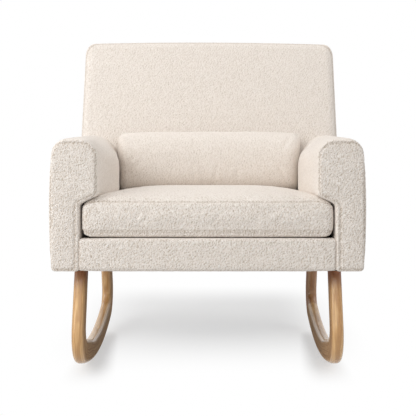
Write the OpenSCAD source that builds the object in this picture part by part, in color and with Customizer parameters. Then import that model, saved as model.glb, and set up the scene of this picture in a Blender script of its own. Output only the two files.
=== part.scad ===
// Upholstered rocking chair: a boxed armchair body on two bent-wood rocker loops.
// Millimetres. +X is the sitter's left seen from the front, -Y is the front, +Z is up.
// Depths are measured back from the arms' front faces, and place() moves them into the frame.

/* [Body] */
// Width over the outer faces of the arms
body_w = 800; // [780:1:840]
// Height of the body's underside above the floor
body_bottom_z = 290; // [280:1:305]
// Height of the arms' tops above the floor
arm_top_z = 620; // [608:1:645]
// Width of the arm's pad
arm_pad_w = 123; // [115:1:130]
// Thickness of the arm below its pad
arm_panel_w = 78; // [76:1:84]
// Height of the pad's lower inner edge above the floor
pad_edge_z = 494; // [490:1:508]
// Height where the pad's underside meets the lower arm
pad_root_z = 458; // [454:1:466]
// Radius of the arm's outer top edge
arm_outer_r = 30; // [20:1:36]
// Radius of the arm's inner top edge
arm_inner_r = 62; // [40:1:70]
// Radius of the pad's lower inner edge
pad_edge_r = 16; // [8:1:20]
// Height of the upholstered front rail
front_rail_h = 81; // [78:1:86]
// Slope of the seat deck down towards the back, in degrees
deck_slope = 3; // [2:0.5:4]

/* [Back] */
// How far the back's sides stand proud of the arms
back_proud = 3; // [1:0.5:8]
// Depth of the back's front face, at the side rails' top
back_face_v = 458; // [450:1:480]
// Lean of the back's front face, in degrees
back_recline = 19; // [17:0.5:21]
// Height of the back's top edge above the floor
back_top_z = 926; // [900:1:955]
// Fall of the back's top face towards the rear, in degrees
back_top_fall = 12; // [6:0.5:14]
// How far the body reaches behind the rear legs, at its underside
rear_overhang = 68.7; // [60:0.1:90]
// Lean of the rear face, in degrees
rear_recline = 9.5; // [9:0.5:11]
// Radius of the back's top corners, seen from the front
back_corner_r = 46; // [30:1:60]
// Radius of the edges round the back's front face
back_edge_r = 30; // [15:1:36]
// Radius of the back's rear top edge
back_rear_r = 26; // [15:1:32]
// Thickness of the foam on the back's front
back_foam_t = 45; // [38:1:55]

/* [Upholstery] */
// Thickness of the looped fabric
cover_t = 2.5; // [2:0.5:3.5]
// Thickness of the foam on the body's outer sides
side_foam_t = 10.5; // [8:0.5:12]
// Thickness of the foam on the front rail and arm fronts
front_foam_t = 10; // [8:0.5:14]
// Thickness of the deck's cloth
deck_cloth_t = 2; // [1.5:0.5:3]
// Thickness of the deck's foam
deck_foam_t = 15; // [12:1:18]
// Thickness of the felt that lies on the springs
felt_t = 3; // [2:0.5:4]
// Thickness of the dust cover
dust_t = 1.5; // [1:0.5:2.5]
// Thickness of the board behind the outside back
back_board_t = 3; // [2:0.5:4]

/* [Cushions] */
// Gap between the seat cushion and each arm
cushion_gap = 2.5; // [1:0.5:5]
// Height of the seat cushion at its edges
cushion_t = 104; // [98:1:106]
// Rise of the seat cushion's crown above its edges
cushion_crown = 23; // [14:1:28]
// Gap between a cushion and what it rests on
rest_gap = 0.3; // [0.3:0.1:0.8]
// Width of the lumbar pillow
pillow_w = 553; // [520:1:553]
// Height of the lumbar pillow along the back
pillow_h = 206; // [180:1:210]
// Bulge of the pillow's front ahead of its seam
pillow_front_bulge = 70; // [50:1:80]
// Bulge of the pillow's rear behind its seam
pillow_rear_bulge = 22; // [14:1:28]

/* [Rockers] */
// Thickness of a rocker loop, from side to side
rocker_t = 32; // [28:1:34]
// Depth of the bent bar within the loop
rocker_b = 50; // [44:1:54]
// Radius of the bar's long edges
rocker_edge_r = 11; // [6:0.5:12.5]
// Radius of the runner's underside
runner_r = 1100; // [1000:10:1300]
// Length of a rocker loop
rocker_len = 684; // [650:1:700]
// Outer radius of the bends between runner and legs
bend_r = 85; // [75:1:95]
// Lean of the legs, in degrees
leg_rake = 19; // [16:1:22]
// Depth of the front legs' middle behind the arms' front faces, at the body's underside
front_setback = 98.8; // [85:0.1:105]
// Length of the flat at each runner's resting point
rest_flat = 20; // [10:1:30]
// Length of leg above the body's underside
leg_engagement = 63; // [58:1:68]

/* [Frame] */
// Width of the side rails
side_rail_w = 40; // [36:1:42]
// Height of the side rails
side_rail_h = 74.5; // [72:0.5:78]
// Thickness of the rails that run across
cross_rail_t = 22; // [18:1:25]
// Depth of the arm's front post
arm_post_d = 40; // [32:1:48]
// Height of the arm's top rail
arm_rail_h = 25; // [20:1:30]
// Foam above the arm's top rail
arm_top_foam_t = 38; // [30:1:44]
// Thickness of the boards that close the arm's frame
arm_board_t = 3; // [2:0.5:4]
// Depth of the back posts
back_post_d = 45; // [38:1:50]
// Height of the back's top and lumbar rails
back_rail_h = 22; // [18:1:28]
// Drop of the back's top rail below the outside back's top seam
back_rail_drop = 5; // [3:1:20]
// Height of the rear rail
rear_rail_h = 56; // [48:1:60]
// Height of the lumbar rail above the floor
lumbar_rail_z = 608; // [580:1:645]
// Length of the corner blocks' short sides
block_w = 34; // [28:1:36]
// Height of the corner blocks
block_h = 28; // [20:1:30]

/* [Springs and webbing] */
// Number of seat springs
spring_count = 5; // [4:1:5]
// Spacing of the seat springs
spring_pitch = 118; // [105:1:125]
// Thickness of the spring wire
wire_d = 4; // [3:0.5:4.5]
// Width of a spring over its bends
spring_w = 50; // [42:1:56]
// Spacing of a spring's bars
bar_pitch = 20; // [18:1:24]
// Width of the webbing
web_w = 50; // [40:1:60]
// Thickness of the webbing
web_t = 1.5; // [1:0.5:2]
// Number of webs across the back between its lumbar and top rails
web_rows = 1; // [1:1:2]
// Spacing of the webs that run up the back
web_pitch_x = 145; // [120:1:170]
// Length of web stapled to each back post
web_tail = 22; // [15:1:30]

/* [Fasteners] */
// Diameter of the leg bolts
bolt_d = 8; // [6:0.5:8]
// Radial clearance round bolts and screws
bolt_clear = 0.25; // [0.15:0.05:0.4]
// Outer diameter of the threaded inserts
insert_d = 12; // [11:0.5:14]
// Length of the threaded inserts
insert_len = 25; // [18:1:30]
// Spacing of the two bolts in a leg
bolt_pitch = 30; // [26:1:34]
// Diameter of the frame screws
screw_d = 5; // [4:0.5:6]
// Length of a frame screw in the rail's end
screw_bite = 45; // [35:1:55]

/* [Hidden] */
$fn = 64;

over = 2;             // how far a cutting shape runs past a face
arc_steps = 7;        // flats in a rounded corner of an outline
runner_fn = 1440;     // facets a turn in the preview of the runner
frame_bottom_z = body_bottom_z + dust_t;
frame_front_v = cover_t + front_foam_t;
frame_half_w = body_w / 2 - cover_t - side_foam_t;
rail_inner_x = frame_half_w - side_rail_w;
rocker_inner_x = rail_inner_x - rocker_t;
side_rail_top_z = frame_bottom_z + side_rail_h;
panel_inner_x = body_w / 2 - arm_panel_w;
pad_inner_x = body_w / 2 - arm_pad_w;
back_w = body_w + 2 * back_proud;
deck_stack = deck_cloth_t + deck_foam_t + felt_t;
spring_gap = 0.05;    // clearance between the springs and the felt
spring_drop = deck_stack + spring_gap + wire_d / cos(deck_slope);
deck_half_w = rocker_inner_x - 1;
arm_rail_top_z = arm_top_z - arm_top_foam_t;
leg_top_z = body_bottom_z + leg_engagement;
rear_inner = cover_t + back_board_t;
front_rail_v = frame_front_v + cross_rail_t;
seat_rail_v = back_face_v + 12;
rail_wrap_v = front_rail_v + 6;

// Rocker loops: the runner's arc, the bends and the leaning legs, and from them the body's depth.
rest_sag = runner_r - sqrt(pow(runner_r, 2) - pow(rest_flat / 2, 2));
arc_centre_z = runner_r - rest_sag;
bend_v = rocker_len / 2 - bend_r;
bend_z = arc_centre_z - sqrt(pow(runner_r - bend_r, 2) - pow(bend_v, 2));
runner_half = asin(bend_v / (runner_r - bend_r));
bar_r = bend_r - rocker_b / 2;
leg_root_z = bend_z + bar_r * sin(leg_rake);
leg_len = (leg_top_z - leg_root_z) / cos(leg_rake) + rocker_b * tan(leg_rake);
bolt_zs = [for (s = [-1, 1]) body_bottom_z + leg_engagement / 2 + s * bolt_pitch / 2];
function leg_v(z) = bend_v + bar_r * cos(leg_rake) - (z - leg_root_z) * tan(leg_rake);
rest_v = front_setback + leg_v(body_bottom_z);
rear_bottom_v = rest_v + leg_v(body_bottom_z) + rear_overhang;
function leg_vs(z) = [rest_v - leg_v(z), rest_v + leg_v(z)];

// Depths and heights of the leaning planes, a distance in from the surface.
function front_plane(z, inset = 0) =
    back_face_v + (z - side_rail_top_z) * tan(back_recline) + inset / cos(back_recline);
function rear_plane(z, inset = 0) =
    rear_bottom_v + (z - body_bottom_z) * tan(rear_recline) - inset / cos(rear_recline);
function deck_z(v, below = 0) = body_bottom_z + front_rail_h - v * tan(deck_slope) - below;

// Outlines: a list of corners, anticlockwise, moved in edge by edge and then rounded.
function unit(a) = a / norm(a);
function inward(a, b) = let (e = unit(b - a)) [-e[1], e[0]];
function crossing(p, d, q, e) = p + d * (((q - p)[0] * e[1] - (q - p)[1] * e[0]) / (d[0] * e[1] - d[1] * e[0]));
function moved_in(pts, by) =
    let (n = len(pts))
    [for (i = [0:n - 1])
        let (a = pts[(i + n - 1) % n], p = pts[i], b = pts[(i + 1) % n])
        crossing(p + inward(a, p) * by[(i + n - 1) % n], p - a, p + inward(p, b) * by[i], b - p)];
function shrunk(radii, by) = [for (r = radii) r > 0 ? max(r - by, 0.5) : r < 0 ? -r + by : 0];
function corner(a, p, b, r) =
    let (u = unit(a - p), w = unit(b - p), half = acos(u * w) / 2, c = p + unit(u + w) * r / sin(half),
         from = p + u * r / tan(half) - c, to = p + w * r / tan(half) - c,
         t0 = atan2(from[1], from[0]), turn = atan2(from[0] * to[1] - from[1] * to[0], from * to))
    [for (k = [0:arc_steps]) c + r * [cos(t0 + turn * k / arc_steps), sin(t0 + turn * k / arc_steps)]];
function rounded(pts, radii) =
    let (n = len(pts))
    [for (i = [0:n - 1])
        each radii[i] == 0 ? [pts[i]] : corner(pts[(i + n - 1) % n], pts[i], pts[(i + 1) % n], radii[i])];

// The arm's section, across and up, with the outer side first.
arm_corners = [
    [body_w / 2, body_bottom_z], [body_w / 2, arm_top_z], [pad_inner_x, arm_top_z],
    [pad_inner_x, pad_edge_z], [panel_inner_x, pad_root_z], [panel_inner_x, body_bottom_z]
];
arm_radii = [0, arm_outer_r, arm_inner_r, pad_edge_r, -14, 0];
function arm_section(inset) =
    rounded(moved_in(arm_corners, [inset, inset, inset, inset, inset, 0]), shrunk(arm_radii, inset));

// The back's side outline, depth and height, from its front bottom corner.
function back_corners(bottom_z) =
    let (top_v = front_plane(back_top_z), fall = tan(back_top_fall), lean = tan(rear_recline),
         rear_z = (back_top_z - (rear_bottom_v - body_bottom_z * lean - top_v) * fall) / (1 + lean * fall))
    [[front_plane(bottom_z), bottom_z], [rear_plane(bottom_z), bottom_z],
     [rear_plane(rear_z), rear_z], [top_v, back_top_z]];
// Where the back's rear top edge starts to turn, which is the outside back's top seam.
rear_corner = corner(back_corners(body_bottom_z)[1], back_corners(body_bottom_z)[2],
                     back_corners(body_bottom_z)[3], back_rear_r);
outside_back_top_z = rear_corner[0][1];
overall_d = max([for (p = rear_corner) p[0]]);

module place() translate([0, -overall_d / 2, 0]) children();
module prism_x(outline, x0, x1) translate([x0, 0, 0]) rotate([90, 0, 90]) linear_extrude(x1 - x0) polygon(outline);
module prism_y(outline, v0, v1) translate([0, v1, 0]) rotate([90, 0, 0]) linear_extrude(v1 - v0) polygon(outline);
module both() { children(); mirror([1, 0, 0]) children(); }
module block(low, high) translate(low) cube(high - low);
module hole_x(x0, x1, v, z, d) translate([x0, v, z]) rotate([0, 90, 0]) cylinder(d = d, h = x1 - x0);
module wood() color("burlywood") children();
module pine() color("wheat") children();
module foam() color("khaki") children();
module fabric() color("linen") children();
module steel() color("silver") children();

// Rocker loops: a runner arc and two legs, each leg bent at its foot and glued to the runner end to end.
module bar_section(r) {
    x = rocker_b / 2 - rocker_edge_r;
    y = rocker_t / 2 - rocker_edge_r;
    translate([r - rocker_b / 2, rocker_t / 2]) {
        square([rocker_b, 2 * y], center = true);
        square([2 * x, rocker_t], center = true);
        for (i = [-1, 1], j = [-1, 1]) translate([i * x, j * y]) circle(rocker_edge_r);
    }
}
module at_rest_line() translate([rocker_inner_x, rest_v, 0]) children();
module runner() wood() difference() {
    at_rest_line() translate([0, 0, arc_centre_z]) rotate([90, 0, 90]) rotate([0, 0, -90 - runner_half])
        rotate_extrude(angle = 2 * runner_half, $fn = runner_fn) bar_section(runner_r);
    block([rocker_inner_x - over, rest_v - rocker_len, -over], [rail_inner_x + over, rest_v + rocker_len, 0]);
}
module bent_leg() wood() difference() {
    translate([0, bend_v, bend_z]) rotate([90, 0, 90]) mirror([0, 1, 0]) rotate([0, 0, -leg_rake]) {
        rotate_extrude(angle = 90 - runner_half + leg_rake) bar_section(bend_r);
        rotate([90, 0, 0]) linear_extrude(leg_len) bar_section(bend_r);
    }
    block([-over, 0, leg_top_z], [rocker_t + over, rocker_len, leg_top_z + leg_len]);
    for (z = bolt_zs) hole_x(-over, rocker_t + over, leg_v(z), z, bolt_d + 2 * bolt_clear);
}
module rear_leg() at_rest_line() bent_leg();
module front_leg() at_rest_line() mirror([0, 1, 0]) bent_leg();

// Fasteners: two bolts a leg into threaded inserts, and screws through the side rails.
washer_t = 1.6;
bolt_head_t = 5;
screw_head_t = 3;
screw_low = 12;       // height of the lower screw above the rails' underside
screw_pitch = 14;
screw_zs = [for (i = [0, 1]) frame_bottom_z + screw_low + i * screw_pitch];
cross_rail_vs = [front_rail_v - cross_rail_t / 2, seat_rail_v + cross_rail_t / 2,
                 rear_plane(frame_bottom_z, rear_inner) - cross_rail_t / 2];
module at_bolts() both() for (z = bolt_zs, v = leg_vs(z)) translate([rocker_inner_x, v, z]) rotate([0, 90, 0]) children();
module at_screws() both() for (v = cross_rail_vs, z = screw_zs)
    translate([frame_half_w, v, z]) rotate([0, -90, 0]) children();
module leg_bolts() steel() at_bolts() {
    translate([0, 0, -washer_t - bolt_head_t]) cylinder(d = bolt_d * 1.6, h = bolt_head_t, $fn = 6);
    translate([0, 0, -washer_t]) cylinder(d = bolt_d, h = washer_t + rocker_t + insert_len - 3);
}
module leg_washers() steel() at_bolts() translate([0, 0, -washer_t]) difference() {
    cylinder(d = bolt_d * 2, h = washer_t);
    translate([0, 0, -over]) cylinder(d = bolt_d + 2 * bolt_clear, h = washer_t + 2 * over);
}
module leg_inserts() steel() at_bolts() translate([0, 0, rocker_t]) difference() {
    cylinder(d = insert_d, h = insert_len);
    translate([0, 0, -over]) cylinder(d = bolt_d + 2 * bolt_clear, h = insert_len + 2 * over);
}
module frame_screws() steel() at_screws() {
    cylinder(d = screw_d * 2, h = screw_head_t);
    cylinder(d = screw_d, h = side_rail_w + screw_bite);
}
module screw_holes() at_screws() {
    translate([0, 0, -over]) cylinder(d = screw_d * 2 + 2 * bolt_clear, h = over + screw_head_t);
    cylinder(d = screw_d + 2 * bolt_clear, h = side_rail_w + screw_bite);
}

// Seat frame: side rails, three rails across and blocks glued in the corners.
module side_rail() pine() difference() {
    prism_x([[frame_front_v, frame_bottom_z], [rear_plane(frame_bottom_z, rear_inner), frame_bottom_z],
             [rear_plane(side_rail_top_z, rear_inner), side_rail_top_z], [frame_front_v, side_rail_top_z]],
            rail_inner_x, frame_half_w);
    for (z = bolt_zs, v = leg_vs(z)) hole_x(rail_inner_x - over, rail_inner_x + insert_len, v, z, insert_d);
    screw_holes();
}
module cross_rail(outline) pine() difference() {
    prism_x(outline, -rail_inner_x, rail_inner_x);
    screw_holes();
}
module front_rail() cross_rail([
    [frame_front_v, frame_bottom_z], [front_rail_v, frame_bottom_z],
    [front_rail_v, deck_z(front_rail_v, spring_drop)],
    [frame_front_v, deck_z(frame_front_v, spring_drop)]
]);
module seat_rail() cross_rail([
    [seat_rail_v, frame_bottom_z], [seat_rail_v + cross_rail_t, frame_bottom_z],
    [seat_rail_v + cross_rail_t, deck_z(seat_rail_v + cross_rail_t, spring_drop)],
    [seat_rail_v, deck_z(seat_rail_v, spring_drop)]
]);
rear_rail_top_z = frame_bottom_z + rear_rail_h;
module rear_rail() cross_rail([
    [rear_plane(frame_bottom_z, rear_inner) - cross_rail_t, frame_bottom_z],
    [rear_plane(frame_bottom_z, rear_inner), frame_bottom_z],
    [rear_plane(rear_rail_top_z, rear_inner), rear_rail_top_z],
    [rear_plane(rear_rail_top_z, rear_inner) - cross_rail_t, rear_rail_top_z]
]);
module corner_blocks() pine() both() for (end = [[front_rail_v, 1], [seat_rail_v, -1]])
    translate([rail_inner_x, end[0], frame_bottom_z]) scale([-1, end[1], 1])
        linear_extrude(block_h) polygon([[0, 0], [block_w, 0], [0, block_w]]);

// Arm frames: a front post on the side rail and a top rail that runs back to the back post.
module arm_post() pine() block([rail_inner_x, frame_front_v, side_rail_top_z],
                               [frame_half_w, frame_front_v + arm_post_d, arm_rail_top_z - arm_rail_h]);
module arm_rail() pine() prism_x([
    [frame_front_v, arm_rail_top_z - arm_rail_h],
    [front_plane(arm_rail_top_z - arm_rail_h, post_front), arm_rail_top_z - arm_rail_h],
    [front_plane(arm_rail_top_z, post_front), arm_rail_top_z], [frame_front_v, arm_rail_top_z]
], rail_inner_x, frame_half_w);
module arm_board(x0, x1) prism_x([
    [frame_front_v, side_rail_top_z], [front_plane(side_rail_top_z), side_rail_top_z],
    [front_plane(arm_rail_top_z), arm_rail_top_z], [frame_front_v, arm_rail_top_z]
], x0, x1);
module arm_boards() color("peru") {
    arm_board(rail_inner_x - arm_board_t, rail_inner_x);
    arm_board(frame_half_w, frame_half_w + arm_board_t);
}

// Back frame: leaning posts, a top rail and a lumbar rail, with webbing on their front.
post_front = back_foam_t + web_t;
post_rear = post_front + back_post_d;
back_rail_top_z = outside_back_top_z - back_rail_drop;
back_rail_z = back_rail_top_z - back_rail_h;
module back_post() pine() prism_x([
    [front_plane(side_rail_top_z, post_front), side_rail_top_z],
    [front_plane(side_rail_top_z, post_rear), side_rail_top_z],
    [front_plane(back_rail_z, post_rear), back_rail_z],
    [front_plane(back_rail_z, post_front), back_rail_z]
], rail_inner_x, frame_half_w);
module back_top_rail() pine() prism_x([
    [front_plane(back_rail_z, back_foam_t), back_rail_z], [rear_plane(back_rail_z, rear_inner), back_rail_z],
    [rear_plane(back_rail_top_z, rear_inner), back_rail_top_z],
    [front_plane(back_rail_top_z, back_foam_t), back_rail_top_z]
], -frame_half_w, frame_half_w);
module back_lumbar_rail() pine() prism_x([
    [front_plane(lumbar_rail_z, post_front + web_t), lumbar_rail_z],
    [front_plane(lumbar_rail_z, post_rear), lumbar_rail_z],
    [front_plane(lumbar_rail_z + back_rail_h, post_rear), lumbar_rail_z + back_rail_h],
    [front_plane(lumbar_rail_z + back_rail_h, post_front + web_t), lumbar_rail_z + back_rail_h]
], -rail_inner_x, rail_inner_x);
module web_strip(z0, z1, x0, x1, depth) prism_x([
    [front_plane(z0, depth), z0], [front_plane(z0, depth + web_t), z0],
    [front_plane(z1, depth + web_t), z1], [front_plane(z1, depth), z1]
], x0, x1);
web_pitch_z = (back_rail_z - lumbar_rail_z) / (web_rows + 1);
web_zs = [for (i = [-1:web_rows]) lumbar_rail_z - (web_w - back_rail_h) / 2 + i * web_pitch_z];
web_xs = [for (i = [-1.5, -0.5, 0.5, 1.5]) i * web_pitch_x];
module back_webbing_across() color("dimgray") difference() {
    for (z = web_zs) web_strip(z, z + web_w, -rail_inner_x - web_tail, rail_inner_x + web_tail, back_foam_t);
    both() arm_rail();
}
module back_webbing_upright() color("gray") for (x = web_xs)
    web_strip(web_zs[0], back_rail_z, x - web_w / 2, x + web_w / 2, back_foam_t + web_t);

// Seat springs: flat zigzag wires from the front rail to the seat rail, held by clips.
spring_from_v = frame_front_v + cross_rail_t / 2;
spring_bars = floor((seat_rail_v + cross_rail_t / 2 - spring_from_v) / bar_pitch);
spring_xs = [for (i = [0:spring_count - 1]) (i - (spring_count - 1) / 2) * spring_pitch];
module spring_outline() {
    x = spring_w / 2 - bar_pitch / 2 - wire_d / 2;
    for (i = [0:spring_bars]) translate([0, i * bar_pitch]) square([2 * x, wire_d], center = true);
    for (i = [0:spring_bars - 1]) translate([i % 2 == 0 ? x : -x, (i + 0.5) * bar_pitch]) intersection() {
        difference() {
            circle(bar_pitch / 2 + wire_d / 2);
            circle(bar_pitch / 2 - wire_d / 2);
        }
        translate([i % 2 == 0 ? 0 : -spring_w, -bar_pitch]) square([spring_w, 2 * bar_pitch]);
    }
}
module on_deck(v, below) translate([0, v, deck_z(v, below)]) rotate([-deck_slope, 0, 0]) children();
module seat_springs() steel() for (x = spring_xs)
    translate([x, 0, 0]) on_deck(spring_from_v, spring_drop) linear_extrude(wire_d) spring_outline();
clip_t = 1.2;
clip_w = 14;
module spring_clips() steel() for (x = spring_xs, i = [0, spring_bars]) translate([x, 0, 0])
    on_deck(spring_from_v, spring_drop) translate([0, i * bar_pitch, 0])
        for (s = [-1, 1]) translate([-clip_w / 2, s * (wire_d / 2 + clip_t / 2) - clip_t / 2, 0])
            cube([clip_w, clip_t, wire_d]);

// Seat deck: felt, foam and cloth between the front rail's wrap and the back.
deck_end_v = front_plane(deck_z(back_face_v, deck_stack)) - rest_gap;
module deck_layer(below, t, from_v) prism_x([
    [from_v, deck_z(from_v, below + t)], [deck_end_v, deck_z(deck_end_v, below + t)],
    [deck_end_v, deck_z(deck_end_v, below)], [from_v, deck_z(from_v, below)]
], -deck_half_w, deck_half_w);
module deck_felt() color("slategray") deck_layer(deck_cloth_t + deck_foam_t, felt_t, rail_wrap_v);
module deck_foam() foam() deck_layer(deck_cloth_t, deck_foam_t, rail_wrap_v);
module deck_cloth() color("gainsboro") deck_layer(0, deck_cloth_t, rail_wrap_v);

// Arms: the section run back to the leaning back, and on below it to the rear.
module arm_reach(v_in, rear_in) prism_x([
    [v_in, body_bottom_z - over], [rear_plane(body_bottom_z - over, rear_in), body_bottom_z - over],
    [rear_plane(side_rail_top_z, rear_in), side_rail_top_z],
    [front_plane(side_rail_top_z, back_edge_r), side_rail_top_z],
    [front_plane(arm_top_z + over, back_edge_r), arm_top_z + over], [v_in, arm_top_z + over]
], 0, body_w / 2 + over);
module arm_block(inset) difference() {
    intersection() {
        prism_y(arm_section(inset), inset, rear_bottom_v + arm_top_z);
        arm_reach(inset, cover_t);
    }
    back_block(0, side_rail_top_z);
}
module under_deck() prism_x([
    [frame_front_v, body_bottom_z - over], [overall_d, body_bottom_z - over],
    [overall_d, side_rail_top_z], [back_face_v, side_rail_top_z],
    [back_face_v, deck_z(back_face_v, deck_cloth_t)], [frame_front_v, deck_z(frame_front_v, deck_cloth_t)]
], 0, rail_inner_x);
module arm_frame_space() prism_x([
    [frame_front_v, body_bottom_z - over], [overall_d, body_bottom_z - over],
    [overall_d, arm_rail_top_z], [frame_front_v, arm_rail_top_z]
], rail_inner_x, frame_half_w);
module arm_foam() foam() difference() {
    arm_block(cover_t);
    arm_frame_space();
    arm_boards();
    under_deck();
}
module arm_cover() fabric() difference() {
    arm_block(0);
    prism_y(arm_section(cover_t), cover_t, rear_bottom_v + arm_top_z);
    under_deck();
    block([panel_inner_x - over, frame_front_v, body_bottom_z - over], [frame_half_w, overall_d, body_bottom_z + dust_t]);
}

// Front rail: foam and cover wrapped over the rail's front and top edge.
rail_lip_r = 12;
rail_corners = [
    [0, body_bottom_z], [rail_wrap_v, body_bottom_z], [rail_wrap_v, deck_z(rail_wrap_v)], [0, deck_z(0)]
];
module rail_outline_block(inset) prism_x(
    rounded(moved_in(rail_corners, [0, 0, inset, inset]), shrunk([0, 0, 0, rail_lip_r], inset)),
    -panel_inner_x, panel_inner_x);
module rail_space() block([-body_w, frame_front_v, body_bottom_z - over],
                          [body_w, overall_d, deck_z(rail_wrap_v, deck_stack)]);
module front_rail_foam() foam() difference() {
    rail_outline_block(cover_t);
    prism_x([[frame_front_v, body_bottom_z - over], [overall_d, body_bottom_z - over],
             [overall_d, deck_z(overall_d, deck_stack)], [frame_front_v, deck_z(frame_front_v, deck_stack)]],
            -body_w, body_w);
}
module front_rail_cover() fabric() difference() {
    rail_outline_block(0);
    prism_x(rounded(moved_in(rail_corners, [-over, -over, cover_t, cover_t]),
                    shrunk([0, 0, 0, rail_lip_r], cover_t)), -body_w, body_w);
}

// Back: a wedge of foam round the back frame, its cover, and the flat outside back.
module front_view(inset) prism_y(
    rounded([[back_w / 2 - inset, 0], [back_w / 2 - inset, back_top_z + over],
             [inset - back_w / 2, back_top_z + over], [inset - back_w / 2, 0]],
            [0, back_corner_r - inset, back_corner_r - inset, 0]), -over, overall_d + over);
module plan_view(inset) translate([0, back_face_v, side_rail_top_z]) rotate([-back_recline, 0, 0])
    translate([0, 0, -back_top_z]) linear_extrude(3 * back_top_z) polygon(rounded(
        [[inset - back_w / 2, inset], [back_w / 2 - inset, inset], [back_w / 2 - inset, overall_d],
         [inset - back_w / 2, overall_d]], shrunk([back_edge_r, back_edge_r, 0, 0], inset)));
module back_block(inset, bottom_z) difference() {
    intersection() {
        prism_x(rounded(moved_in(back_corners(body_bottom_z), [0, inset, inset, inset]),
                        shrunk([0, 0, back_rear_r, back_edge_r], inset)), -body_w, body_w);
        front_view(inset);
        plan_view(inset);
    }
    block([-body_w, 0, body_bottom_z - over], [body_w, overall_d + over, bottom_z]);
}
tongue_z = deck_z(deck_end_v, deck_stack) + rest_gap;
module below_back_sides() both() block([deck_half_w, 0, 0], [body_w, overall_d + over, side_rail_top_z]);
module back_space() prism_x([
    [front_plane(0, back_foam_t), 0], [overall_d + over, 0], [overall_d + over, back_rail_top_z],
    [front_plane(back_rail_top_z, back_foam_t), back_rail_top_z]
], -frame_half_w, frame_half_w);
module back_foam() foam() difference() {
    back_block(cover_t, tongue_z);
    back_space();
    below_back_sides();
    both() arm_rail();
}
module back_cover() fabric() difference() {
    back_block(0, tongue_z);
    back_block(cover_t, tongue_z - over);
    rear_slab(cover_t, -over, 0, outside_back_top_z, body_w);
    below_back_sides();
    both() arm_rail();
}
module rear_slab(from, to, z0, z1, half_w) prism_x([
    [rear_plane(z0, from), z0], [rear_plane(z0, to), z0], [rear_plane(z1, to), z1], [rear_plane(z1, from), z1]
], -half_w, half_w);
module back_board() color("tan") rear_slab(rear_inner, cover_t, frame_bottom_z, back_rail_top_z, frame_half_w);
module outside_back_cover() fabric() union() {
    rear_slab(cover_t, 0, side_rail_top_z, outside_back_top_z, back_w / 2);
    rear_slab(cover_t, 0, body_bottom_z, side_rail_top_z, body_w / 2);
}
module dust_cover() color("dimgray") difference() {
    block([-frame_half_w, frame_front_v, body_bottom_z],
          [frame_half_w, rear_plane(body_bottom_z, cover_t), frame_bottom_z]);
    both() for (v = leg_vs(body_bottom_z))
        block([rocker_inner_x - 1, v - leg_slot_d / 2, body_bottom_z - over],
              [rail_inner_x + 1, v + leg_slot_d / 2, frame_bottom_z + over]);
}
leg_slot_d = rocker_b / cos(leg_rake) + 3;

// Soft shapes: rings of a squarish outline, drawn in between its corners, at given scales and heights.
ring_steps = 44;
square_power = 0.24;
round_power = 0.8;
function soft_point(t, half, draw, scale) =
    let (n = square_power + (round_power - square_power) * (1 - min(1, scale)),
         c = cos(t), s = sin(t), x = sign(c) * pow(abs(c), n), y = sign(s) * pow(abs(s), n))
    scale * [x * (half[0] - draw * (1 - y * y)), y * (half[1] - draw * (1 - x * x))];
module soft_solid(half, draw, layers, lean = 0) {
    rings = len(layers) - 2;
    rows = [for (k = [1:rings]) for (j = [0:ring_steps - 1])
        let (p = soft_point(360 * (j + 0.5) / ring_steps, half, draw, layers[k][0]), z = layers[k][1])
        [p[0], p[1] + (p[1] + half[1]) / (2 * half[1]) * z * lean, z]];
    ends = [for (k = [0, rings + 1]) [0, layers[k][1] * lean / 2, layers[k][1]]];
    polyhedron(concat([ends[0]], rows, [ends[1]]), concat(
        [for (j = [0:ring_steps - 1]) [0, 1 + j, 1 + (j + 1) % ring_steps]],
        [for (k = [0:rings - 2]) for (j = [0:ring_steps - 1])
            let (a = 1 + k * ring_steps + j, b = 1 + k * ring_steps + (j + 1) % ring_steps)
            each [[a, a + ring_steps, b], [b, a + ring_steps, b + ring_steps]]],
        [for (j = [0:ring_steps - 1]) let (a = 1 + (rings - 1) * ring_steps)
            [a + j, rings * ring_steps + 1, a + (j + 1) % ring_steps]]));
}

// Seat cushion: a flat base, upright boxing and a crowned top, leaning at the rear to meet the back.
cushion_front_v = 4;
cushion_draw = 3;
cushion_half = [panel_inner_x - cushion_gap, (deck_end_v - cushion_front_v) / 2 - 2];
function cushion_layers(inset) =
    let (s = 1 - inset / cushion_half[1], t = cushion_t, c = cushion_crown, k = inset)
    [[0, k], [0.94 * s, k], [0.985 * s, k + 3], [s, k + 14], [1.003 * s, t * 0.5], [s, t - 23],
     [0.986 * s, t - 12.5 - k * 0.7], [0.962 * s, t - 6 - k * 0.8], [0.93 * s, t - 2 - k], [0.85 * s, t + 0.2 * c - k],
     [0.65 * s, t + 0.58 * c - k], [0.4 * s, t + 0.86 * c - k], [0.18 * s, t + 0.97 * c - k], [0, t + c - k]];
module cushion_solid(inset) translate([0, 0, rest_gap]) on_deck(cushion_front_v, 0)
    translate([0, cushion_half[1] + 2, 0])
        soft_solid(cushion_half, cushion_draw, cushion_layers(inset), tan(back_recline - deck_slope) * 0.9);
module seat_cushion_foam() foam() cushion_solid(cover_t);
module seat_cushion_cover() fabric() difference() {
    cushion_solid(0);
    cushion_solid(cover_t);
}

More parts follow.
